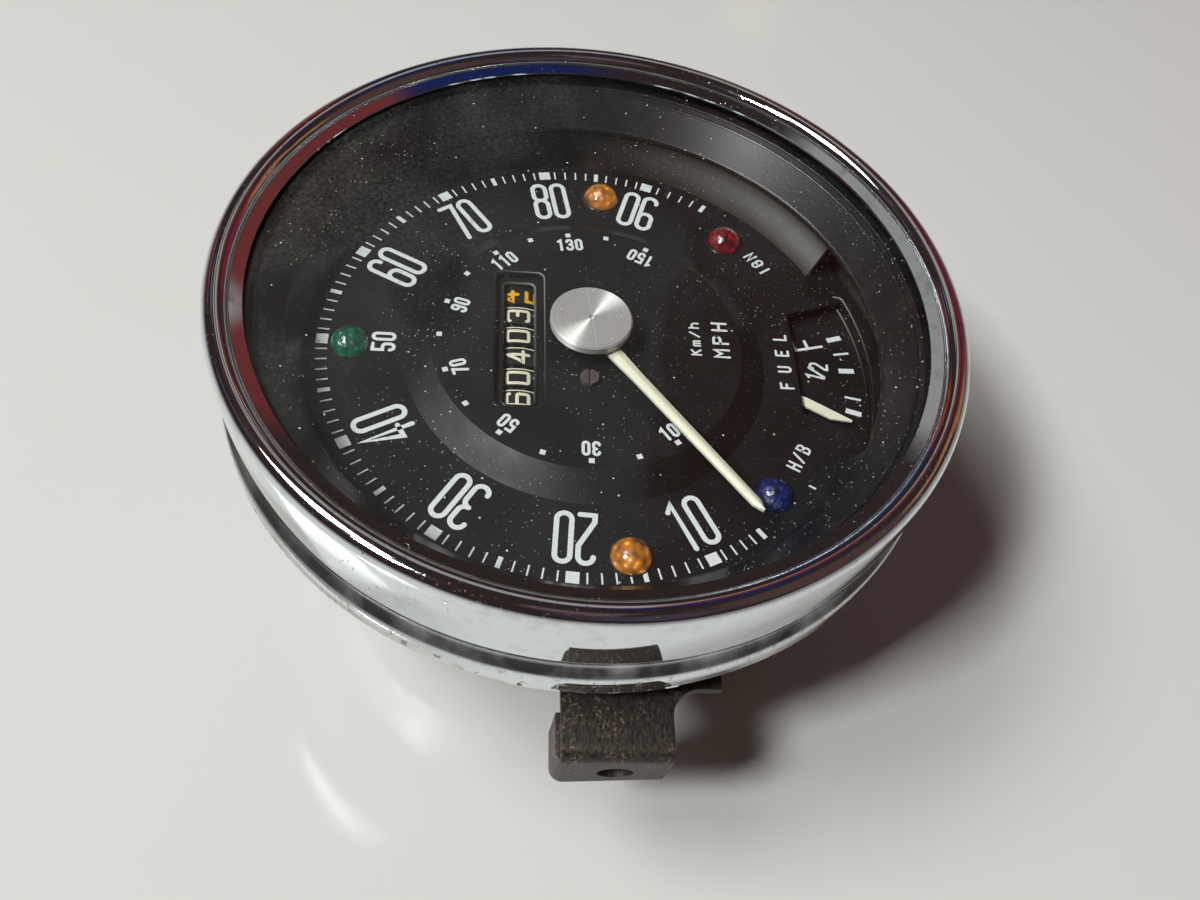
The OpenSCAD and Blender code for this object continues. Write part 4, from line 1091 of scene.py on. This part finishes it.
@dataclass
class FuelPrint:
    """Marks and figures on the recessed face of the fuel gauge."""

    face_z: float
    pivot: Point2 = (0.0, -21.6)

    def build(self, material: bpy.types.Material) -> bpy.types.Object:
        """Makes the marks.

        Args:
            material: the ink.

        Returns:
            The piece.
        """
        maker = MeshMaker("fuel_marks")
        marks = [((-9.1, -51.3), (1.15, 3.1)), ((-5.7, -51.7), (0.5, 3.2)), ((1.1, -51.5), (1.15, 3.1)),
                 ((5.4, -51.1), (0.5, 3.2)), ((9.2, -50.2), (1.15, 3.1))]
        for centre, size in marks:
            turn = math.degrees(math.atan2(centre[0] - self.pivot[0], self.pivot[1] - centre[1]))
            mark(maker, centre, turn, size, self.face_z)
        small = StrokeFigures(1.7, 3.9, 0.5)
        for sign, font, at, turn in (("F", StrokeFigures(3.0, 6.2, 0.6), (7.6, -44.4), 14),
                                     ("1", small, (-0.8, -45.0), -14), ("/", small, (0.4, -45.4), -20),
                                     ("2", small, (1.9, -46.0), -6)):
            write_label(maker, sign, font, font.width, flat_placer(at, turn, self.face_z))
        return maker.finish(material, Body.INSTRUMENT.value, "dial_black")


@dataclass
class FuelRims:
    """Rolled edges at the top and the foot of the wall behind the fuel gauge."""

    dial_z: float
    face_drop: float = 3.0
    bead: float = 0.2
    foot_r: float = 54.85
    top_r: float = 55.15
    half_deg: float = 19.5
    corner_r: float = 1.6
    steps: int = 60

    def route(self, radius: float) -> list[tuple[Point2, float]]:
        """Draws an edge with its round corners.

        Args:
            radius: radius of its long stretch.

        Returns:
            Points from one end to the other, each with the way across the edge in radians.
        """
        ease = math.degrees(self.corner_r / radius)
        path: list[Point2] = []
        for i in range(self.steps + 1):
            turn = -self.half_deg + 2 * self.half_deg * i / self.steps
            near = max(0.0, 1.0 - (self.half_deg - abs(turn)) / ease)
            r = radius - self.corner_r * (1.0 - math.sqrt(max(0.0, 1.0 - near * near)))
            path.append((r * math.sin(math.radians(turn)), -r * math.cos(math.radians(turn))))
        ways = [math.atan2(ahead[1] - behind[1], ahead[0] - behind[0]) + math.pi / 2
                for behind, ahead in zip(path[:1] + path, path[1:] + path[-1:])]
        return list(zip(path, ways))

    def build(self, material: bpy.types.Material) -> bpy.types.Object:
        """Makes both edges.

        Args:
            material: their finish.

        Returns:
            The piece.
        """
        maker = MeshMaker("fuel_window_edges")
        foot_z = self.dial_z - self.face_drop + self.bead
        maker.bead(self.route(self.foot_r), self.bead, foot_z, closed=False)
        maker.bead(self.route(self.top_r), self.bead, self.dial_z, closed=False)
        return maker.finish(material, Body.INSTRUMENT.value, "surround_black", 60)


@dataclass(frozen=True)
class RoundedSlot:
    """A rounded rectangle with a rolled edge, in millimetres."""

    middle_x: float
    width: float
    height: float
    corner: float
    bead: float

    def route(self, middle_y: float) -> list[tuple[Point2, float]]:
        """Draws its edge.

        Args:
            middle_y: its middle along Y.

        Returns:
            Points round it, each with the way that faces out of it in radians.
        """
        spots = []
        for quarter, (sx, sy) in enumerate(((1, 1), (-1, 1), (-1, -1), (1, -1))):
            x = self.middle_x + sx * (self.width / 2 - self.corner)
            y = middle_y + sy * (self.height / 2 - self.corner)
            for i in range(9):
                way = math.radians(90 * quarter + 90 * i / 8)
                spots.append(((x + self.corner * math.cos(way), y + self.corner * math.sin(way)), way))
        return spots


@dataclass
class OdometerRims:
    """Rolled edges of the odometer's window and of the slot in its floor."""

    disc_z: float
    middle_y: float = 12.7
    floor_drop: float = 1.2
    window: RoundedSlot = RoundedSlot(0.0, 32.8, 9.5, 1.45, 0.16)
    slot: RoundedSlot = RoundedSlot(-0.36, 29.75, 6.16, 1.2, 0.28)

    def build(self, material: bpy.types.Material) -> bpy.types.Object:
        """Makes both edges.

        Args:
            material: their finish.

        Returns:
            The piece.
        """
        maker = MeshMaker("odometer_window_edges")
        for slot, z in ((self.window, self.disc_z), (self.slot, self.disc_z - self.floor_drop)):
            maker.bead(slot.route(self.middle_y), slot.bead, z, closed=True)
        return maker.finish(material, Body.INSTRUMENT.value, "dial_black", 60)


@dataclass
class JewelCollars:
    """Turned edges of the dial's metal round the jewels."""

    dial_z: float
    jewel_r: float = 3.5
    turns: int = 64
    nodes: tuple[str, ...] = ("green_jewel", "left_amber_jewel", "right_amber_jewel", "blue_jewel",
                              "red_jewel")

    def build(self, material: bpy.types.Material) -> bpy.types.Object:
        """Makes the collars.

        Args:
            material: their finish.

        Returns:
            The piece.
        """
        maker = MeshMaker("jewel_collars")
        section = [(self.jewel_r + r, self.dial_z + h)
                   for r, h in ((0.06, 0.01), (0.09, 0.08), (0.22, 0.18), (0.34, 0.17), (0.5, 0.01))]
        for name in self.nodes:
            low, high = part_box(name)
            centre = ((low.x + high.x) / 2 / MM, (low.y + high.y) / 2 / MM)
            maker.lathe(section, self.turns, centre)
        return maker.finish(material, Body.INSTRUMENT.value, "dial_black", 40)


@dataclass
class DrumPrint:
    """Figures printed round the odometer's drums."""

    centre: Point2
    left_x: float
    pitch: float = 5.0
    radius: float = 8.5
    rim: float = 4.05
    figure_x: float = 1.9
    step: float = 0.35
    step_deg: float = 36.0
    ink_thick: float = 0.035
    plain: StrokeFigures = StrokeFigures(3.1, 4.6, 0.64, 0.42)
    bold: StrokeFigures = StrokeFigures(3.1, 4.35, 0.74, 0.42)
    line_wide: float = 0.22
    line_thick: float = 0.04
    line_turns: int = 120
    readings: tuple[tuple[str, float], ...] = (
        ("ten_thousands", 6), ("thousands", 0), ("hundreds", 4), ("tens", 0), ("units", 3), ("tenths", 4.37))

    def build(self, ink: bpy.types.Material, tenths_ink: bpy.types.Material) -> None:
        """Prints each drum and draws the pale line at the edge of all but the last.

        Args:
            ink: the cream ink.
            tenths_ink: the yellow ink of the last drum.
        """
        for index, (name, reading) in enumerate(self.readings):
            last = index == len(self.readings) - 1
            font = self.bold if last else self.plain
            start = self.left_x + index * self.pitch
            maker = MeshMaker(f"{name}_figures")
            for figure in range(10):
                lean = math.radians(-self.step_deg * (figure - reading))
                write_label(maker, str(figure), font, font.width, self.wrap(start + self.figure_x, lean),
                            self.ink_thick, self.step)
            maker.finish(tenths_ink if last else ink, f"{name}_wheel", "drum_black")
            if not last:
                self.edge(name, start + self.rim, ink)

    def edge(self, name: str, at: float, ink: bpy.types.Material) -> bpy.types.Object:
        """Draws the line at a drum's edge.

        Args:
            name: the drum's name.
            at: where the line ends along the axle.
            ink: its ink.

        Returns:
            The piece.
        """
        maker = MeshMaker(f"{name}_edge")
        near, top = at - self.line_wide, self.line_thick
        section = [(near, 0.0), (near, top), (at, top), (at, 0.0)]
        leans = [TAU * i / self.line_turns for i in range(self.line_turns)]
        maker.grid([[self.spot(x, lean, h) for x, h in section] for lean in leans],
                   close_rows=True, close_columns=True)
        return maker.finish(ink, f"{name}_wheel", "drum_black")

    def spot(self, x: float, lean: float, height: float) -> Point3:
        """A point on the drum at a lean from the top."""
        r = self.radius + height
        return x, self.centre[0] + r * math.sin(lean), self.centre[1] + r * math.cos(lean)

    def wrap(self, middle_x: float, lean: float) -> Placer:
        """A placer that bends a figure round the drum, with its middle at a lean from the top."""
        return lambda x, y, h: self.spot(middle_x + x, lean + y / self.radius, h)


@dataclass
class SpeedPointer:
    """The cream pointer, with a crease along its blade and a bevelled tip."""

    low_z: float
    angle_deg: float = -126.0
    length: float = 47.7
    tail_r: float = 5.0
    hub_h: float = 1.65
    hub_bevel: float = 0.1
    hub_turns: int = 64
    bore_r: float = 0.8

    def build(self, material: bpy.types.Material) -> bpy.types.Object:
        """Makes the pointer.

        Args:
            material: its paint.

        Returns:
            The piece, which stands for the pointer's solid.
        """
        maker = MeshMaker("pointer_blade")
        a = math.radians(self.angle_deg)
        along, across = (math.sin(a), math.cos(a)), (math.cos(a), -math.sin(a))

        def at(run: float, side: float, rise: float) -> Point3:
            """A point along and across the pointer."""
            return (along[0] * run + across[0] * side, along[1] * run + across[1] * side,
                    self.low_z + rise)

        stations = [(3.0, 1.5), (8.0, 1.36), (14.0, 1.12), (26.0, 1.04), (38.0, 0.95), (45.7, 0.88),
                    (46.9, 0.48), (self.length, 0.12)]
        rows = [[at(run, -half, 0.05), at(run, -half, 0.62), at(run, -half * 0.35, 0.93), at(run, 0, 1.0),
                 at(run, half * 0.35, 0.93), at(run, half, 0.62), at(run, half, 0.05)]
                for run, half in stations]
        maker.bar(rows)
        bore, rim, top, cut = self.bore_r, self.tail_r, self.hub_h, self.hub_bevel
        hub = [(bore, 0), (rim - cut, 0), (rim, cut), (rim, top - cut), (rim - cut, top), (bore, top)]
        maker.lathe([(r, self.low_z + h) for r, h in hub], self.hub_turns)
        piece = maker.finish(material, Body.POINTER.value, "pointer_cream", 12)
        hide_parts("pointer")
        return piece


@dataclass
class Wardrobe:
    """Every finish, made once, and which CAD nodes wear it."""

    finishes: dict[str, bpy.types.Material] = field(default_factory=dict)

    def plain(self) -> list[tuple[Surface, str]]:
        """Lists the plain finishes.

        Returns:
            Each finish with the nodes that wear it.
        """
        return [
            (Surface("dial_black", (0.0055, 0.0052, 0.0055), (0.012, 0.011, 0.011), 0.0, 0.44, 0.08, 5.0,
                     0.004, wear=0.15), "dial_plate fuel_face"),
            (Surface("jewel_seat", (0.012, 0.012, 0.012), (0.03, 0.03, 0.03), 0.0, 0.22, 0.3, 5.0,
                     0.003, wear=0.2), ""),
            (Surface("dark_screw", (0.17, 0.13, 0.13), (0.30, 0.24, 0.22), 0.6, 0.45, 0.8), "dial_screws"),
            (Surface("black_rubber", (0.014, 0.014, 0.014), (0.05, 0.048, 0.045), 0.0, 0.7, 0.3),
             "glass_gasket case_gasket"),
            (Surface("zinc_plate", (0.42, 0.42, 0.40), (0.22, 0.20, 0.17), 0.9, 0.38, 0.06, 3.0, 0.008,
                     wear=0.5), "case"),
            (Surface("bright_zinc", (0.52, 0.51, 0.46), (0.25, 0.21, 0.16), 0.95, 0.32, 0.15),
             "stabiliser_can bracket_rivets movement_screws"),
            (Surface("tarnished_brass", (0.46, 0.33, 0.13), (0.16, 0.10, 0.05), 0.95, 0.34, 0.2),
             "cable_boss fuel_studs fuel_nuts stabiliser_blades frame_pillars ratchet_wheel odometer_frame "
             "fuel_frame"),
            (Surface("phosphor_bronze", (0.45, 0.24, 0.12), (0.2, 0.1, 0.06), 0.95, 0.36, 0.3),
             "spindle_bush bimetal_strip hairspring flux_ring"),
            (Surface("moulded_black", (0.016, 0.016, 0.017), (0.045, 0.043, 0.04), 0.0, 0.42, 0.2),
             "lamp_holders"),
            (Surface("pressed_fibre", (0.14, 0.062, 0.028), (0.24, 0.13, 0.07), 0.0, 0.6, 0.3),
             "fuel_insulators"),
            (Surface("cast_alloy", (0.34, 0.34, 0.35), (0.2, 0.2, 0.2), 0.85, 0.5, 0.3, 2.0, 0.03),
             "movement_frame bridge"),
            (Surface("ground_steel", (0.50, 0.51, 0.53), (0.3, 0.3, 0.3), 1.0, 0.26, 0.3),
             "main_spindle magnet pointer_staff cross_shaft drive_rocker drum_shaft pinion_shaft"),
            (Surface("spun_aluminium", (0.6, 0.6, 0.61), (0.4, 0.4, 0.4), 1.0, 0.34, 0.3), "drag_cup"),
            (Surface("nylon", (0.62, 0.58, 0.45), (0.4, 0.35, 0.25), 0.0, 0.45, 0.3),
             "worm_wheel carry_pinion_1 carry_pinion_2 carry_pinion_3 carry_pinion_4 carry_pinion_5"),
            (Surface("drum_black", (0.012, 0.012, 0.012), (0.035, 0.034, 0.033), 0.0, 0.42, 0.5),
             "ten_thousands_drum thousands_drum hundreds_drum tens_drum units_drum tenths_drum"),
            (Surface("tube_plastic", (0.55, 0.54, 0.5), (0.4, 0.36, 0.3), 0.0, 0.5, 0.3), "light_tubes"),
            (Surface("bulb_glass", (0.7, 0.7, 0.66), (0.4, 0.38, 0.33), 0.0, 0.1, 0.5, coat=0.6), "bulbs"),
            (Surface("pointer_cream", (0.93, 0.92, 0.73), (0.72, 0.70, 0.50), 0.0, 0.42, 0.25, 4.0, 0.004,
                     wear=0.1), "fuel_needle"),
            (Surface("print_white", Ink.WHITE.value, (0.36, 0.38, 0.37), 0.0, 0.5, 0.35, 4.0, 0.003,
                     wear=0.15), ""),
            (Surface("print_cream", Ink.CREAM.value, (0.5, 0.42, 0.25), 0.0, 0.5, 0.5, wear=0.2), ""),
            (Surface("print_yellow", Ink.YELLOW.value, (0.55, 0.22, 0.01), 0.0, 0.5, 0.5, wear=0.2), ""),
        ]

    def special(self) -> list[tuple[object, str]]:
        """Lists the finishes that need a class of their own.

        Returns:
            Each finish with the nodes that wear it.
        """
        dial_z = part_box("surround")[0].z / MM
        return [
            # Painted light: the surround's ramp gets a painted sheen on the side facing the light, and the
            # fuel and odometer window edges get painted highlights on their lit sides.
            (DustyPlastic("surround_black", (0.0085, 0.0085, 0.009), (0.20, 0.195, 0.18), (0.454, -0.891),
                          20.0, 54.0, dial_z, dial_z + 7.4), "surround"),
            (DustyPlastic("window_edge", (0.010, 0.010, 0.010), (0.30, 0.295, 0.28), (1.0, 0.0),
                          -6.0, 20.0, 0.0, 200.0), ""),
            (DustyPlastic("odometer_edge", (0.010, 0.010, 0.010), (0.34, 0.33, 0.31), (0.35, -1.0),
                          -16.0, -2.4, 0.0, 200.0), ""),
            (DustyGlass(), "glass"), (TurnedCap(), "hub_cap"), (Chrome(), ""),
            (WeatheredSteel(), "left_bracket right_bracket"),
            (Jewel("green_lens", (0.003, 0.13, 0.065), 0.35), "green_jewel"),
            (Jewel("amber_lens", (0.60, 0.205, 0.018), 0.62), "left_amber_jewel right_amber_jewel"),
            (Jewel("blue_lens", (0.005, 0.020, 0.13), 0.3), "blue_jewel"),
            (Jewel("red_lens", (0.19, 0.003, 0.008), 0.35), "red_jewel"),
        ]

    def dress(self) -> None:
        """Makes every finish and puts it on its nodes."""
        for finish, names in self.plain() + self.special():
            material = finish.build()
            self.finishes[finish.name] = material
            for name in names.split():
                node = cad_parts[name]
                node.data.materials.clear()
                node.data.materials.append(material)
                LOG.info("%s wears %s", name, finish.name)


@dataclass(frozen=True)
class RoomPatch:
    """A soft coloured patch of the room, which the chrome mirrors."""

    bearing_deg: float
    rise_deg: float
    reach_deg: float
    colour: Colour

    def towards(self) -> Point3:
        """The direction of its middle."""
        bearing, rise = math.radians(self.bearing_deg), math.radians(self.rise_deg)
        return (math.cos(bearing) * math.cos(rise), math.sin(bearing) * math.cos(rise), math.sin(rise))


ROOM = (
    RoomPatch(-110, 38, 34, (0.075, 0.043, 0.036)),
    RoomPatch(-160, 44, 24, (0.058, 0.044, 0.060)),
    RoomPatch(-166, 66, 14, (0.120, 0.070, 0.074)),
    RoomPatch(-66, 26, 15, (0.30, 0.14, 0.065)),
    RoomPatch(-43, 26, 12, (0.17, 0.018, 0.035)),
    RoomPatch(-22, 14, 12, (0.12, 0.060, 0.042)),
    RoomPatch(6, 17, 10, (0.012, 0.022, 0.10)),
    RoomPatch(20, 25, 9, (0.34, 0.040, 0.025)),
    RoomPatch(36, 34, 11, (0.20, 0.18, 0.23)),
    RoomPatch(46, 12, 12, (0.16, 0.020, 0.030)),
    RoomPatch(76, 30, 12, (0.085, 0.065, 0.095)),
    RoomPatch(43, 54, 11, (0.10, 0.035, 0.038)),
    RoomPatch(-24, 58, 9, (0.010, 0.018, 0.080)),
    RoomPatch(-19, 45, 9, (0.15, 0.030, 0.028)),
    RoomPatch(-5, 28, 5, (0.60, 0.55, 0.42)),
    RoomPatch(2, 50, 7, (0.30, 0.295, 0.28)),
)


@dataclass
class Studio:
    """Floor, light, world and the photograph's camera."""

    dial_z: float
    eye_mm: Point3 = (-142.8, 22.4, 166.6)
    look: Point3 = (0.58143, -0.11733, -0.80509)
    up: Point3 = (0.81286, 0.04174, 0.58096)
    lens_mm: float = 35.17
    floor_half_m: float = 3.0
    lamp_m: float = 2.4
    dim: Colour = (0.030, 0.019, 0.018)
    horizon: Colour = (0.26, 0.26, 0.25)
    horizon_low: float = 0.04
    horizon_high: float = 0.20
    ragged: float = 0.16
    ragged_scale: float = 3.0
    full_share: float = 0.45

    def floor(self) -> None:
        """Lays the pale floor that the instrument rests on."""
        half = self.floor_half_m
        mesh = bpy.data.meshes.new("floor")
        mesh.from_pydata([(-half, -half, 0), (half, -half, 0), (half, half, 0), (-half, half, 0)], [],
                         [(0, 1, 2, 3)])
        mesh.materials.append(StudioFloor().build())
        plane = bpy.data.objects.new("floor", mesh)
        bpy.context.scene.collection.objects.link(plane)

    def lamp(self, name: str, towards: Point3, size: Point2, power: float) -> None:
        """Hangs a soft rectangular lamp that points at the dial.

        Args:
            name: the lamp's name.
            towards: direction from the dial to the lamp.
            size: its sides, in metres.
            power: its power, in watts.
        """
        data = bpy.data.lights.new(name, "AREA")
        data.shape = "RECTANGLE"
        data.size, data.size_y = size
        data.energy = power
        lamp = bpy.data.objects.new(name, data)
        way = Vector(towards).normalized()
        lamp.location = Vector((0, 0, self.dial_z * MM)) + way * self.lamp_m
        lamp.rotation_mode = "QUATERNION"
        lamp.rotation_quaternion = (-way).to_track_quat("-Z", "Y")
        bpy.context.scene.collection.objects.link(lamp)

    def world(self) -> None:
        """Makes a dim room with soft coloured patches and a pale horizon."""
        world = bpy.data.worlds.new("room")
        bpy.context.scene.world = world
        world.use_nodes = True
        sketch = NodeSketch(world.node_tree)
        place = sketch.add("ShaderNodeTexCoord").outputs["Generated"]
        noise = sketch.add("ShaderNodeTexNoise")
        sketch.feed(noise.inputs["Vector"], place)
        sketch.feed(noise.inputs["Scale"], self.ragged_scale)
        ragged = sketch.add("ShaderNodeVectorMath", operation="MULTIPLY_ADD")
        for socket, value in zip(ragged.inputs, (noise.outputs["Color"], (self.ragged,) * 3, place)):
            sketch.feed(socket, value)
        shade: object = self.dim
        for patch in ROOM:
            middle, reach = patch.towards(), math.radians(patch.reach_deg)
            facing = sketch.add("ShaderNodeVectorMath", operation="DOT_PRODUCT")
            sketch.feed(facing.inputs[0], ragged.outputs[0])
            sketch.feed(facing.inputs[1], middle)
            lift = self.ragged * 0.5 * sum(middle)
            share = sketch.span(facing.outputs["Value"], math.cos(reach) + lift,
                                math.cos(reach * self.full_share) + lift, eased=True)
            shade = sketch.mix(share, shade, patch.colour)
        parts = sketch.add("ShaderNodeSeparateXYZ")
        sketch.feed(parts.inputs[0], place)
        above = sketch.span(parts.outputs["Z"], self.horizon_low, self.horizon_high)
        background = sketch.run("ShaderNodeBackground", Color=sketch.mix(above, self.horizon, shade))
        sketch.feed(sketch.add("ShaderNodeOutputWorld").inputs["Surface"], background)

    def camera(self) -> None:
        """Sets the camera where the photograph was taken from."""
        data = bpy.data.cameras.new("camera")
        data.lens = self.lens_mm
        data.sensor_width = 36.0
        data.clip_start = 0.01
        camera = bpy.data.objects.new("camera", data)
        look, up = Vector(self.look).normalized(), Vector(self.up).normalized()
        right = look.cross(up).normalized()
        turn = Matrix((right, right.cross(look), -look)).transposed()
        eye = Vector(self.eye_mm) * MM + Vector((0, 0, self.dial_z * MM))
        camera.matrix_world = Matrix.Translation(eye) @ turn.to_4x4()
        bpy.context.scene.collection.objects.link(camera)
        bpy.context.scene.camera = camera

    def build(self) -> None:
        """Sets up the whole studio."""
        self.floor()
        self.world()
        self.lamp("key_lamp", (-0.40, 0.68, 1.0), (0.38, 0.38), 41.0)
        self.lamp("side_lamp", (0.03, 0.65, 1.0), (0.80, 0.80), 28.0)
        self.camera()
        bpy.context.scene.view_settings.view_transform = "Standard"


def main() -> None:
    """Builds the sub-assemblies in order."""
    logging.basicConfig(level=logging.INFO, format="%(name)s %(message)s")
    dial_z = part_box("surround")[0].z / MM
    disc_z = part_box("dial_plate")[1].z / MM
    face_thick = 0.8
    face_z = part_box("fuel_face")[0].z / MM + face_thick
    drum_low, drum_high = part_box("ten_thousands_drum")
    drum_centre = ((drum_low.y + drum_high.y) / 2 / MM, (drum_low.z + drum_high.z) / 2 / MM)
    Studio(dial_z).build()
    wardrobe = Wardrobe()
    wardrobe.dress()
    worn = wardrobe.finishes
    Ring(dial_z).build(worn["chrome_plating"])
    DialPrint(dial_z, disc_z).build(worn["print_white"])
    FuelPrint(face_z).build(worn["print_white"])
    FuelRims(dial_z).build(worn["window_edge"])
    OdometerRims(disc_z).build(worn["odometer_edge"])
    JewelCollars(dial_z).build(worn["jewel_seat"])
    DrumPrint(drum_centre, drum_low.x / MM).build(worn["print_cream"], worn["print_yellow"])
    SpeedPointer(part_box("pointer")[0].z / MM).build(worn["pointer_cream"])


if __name__ == "__main__":
    main()
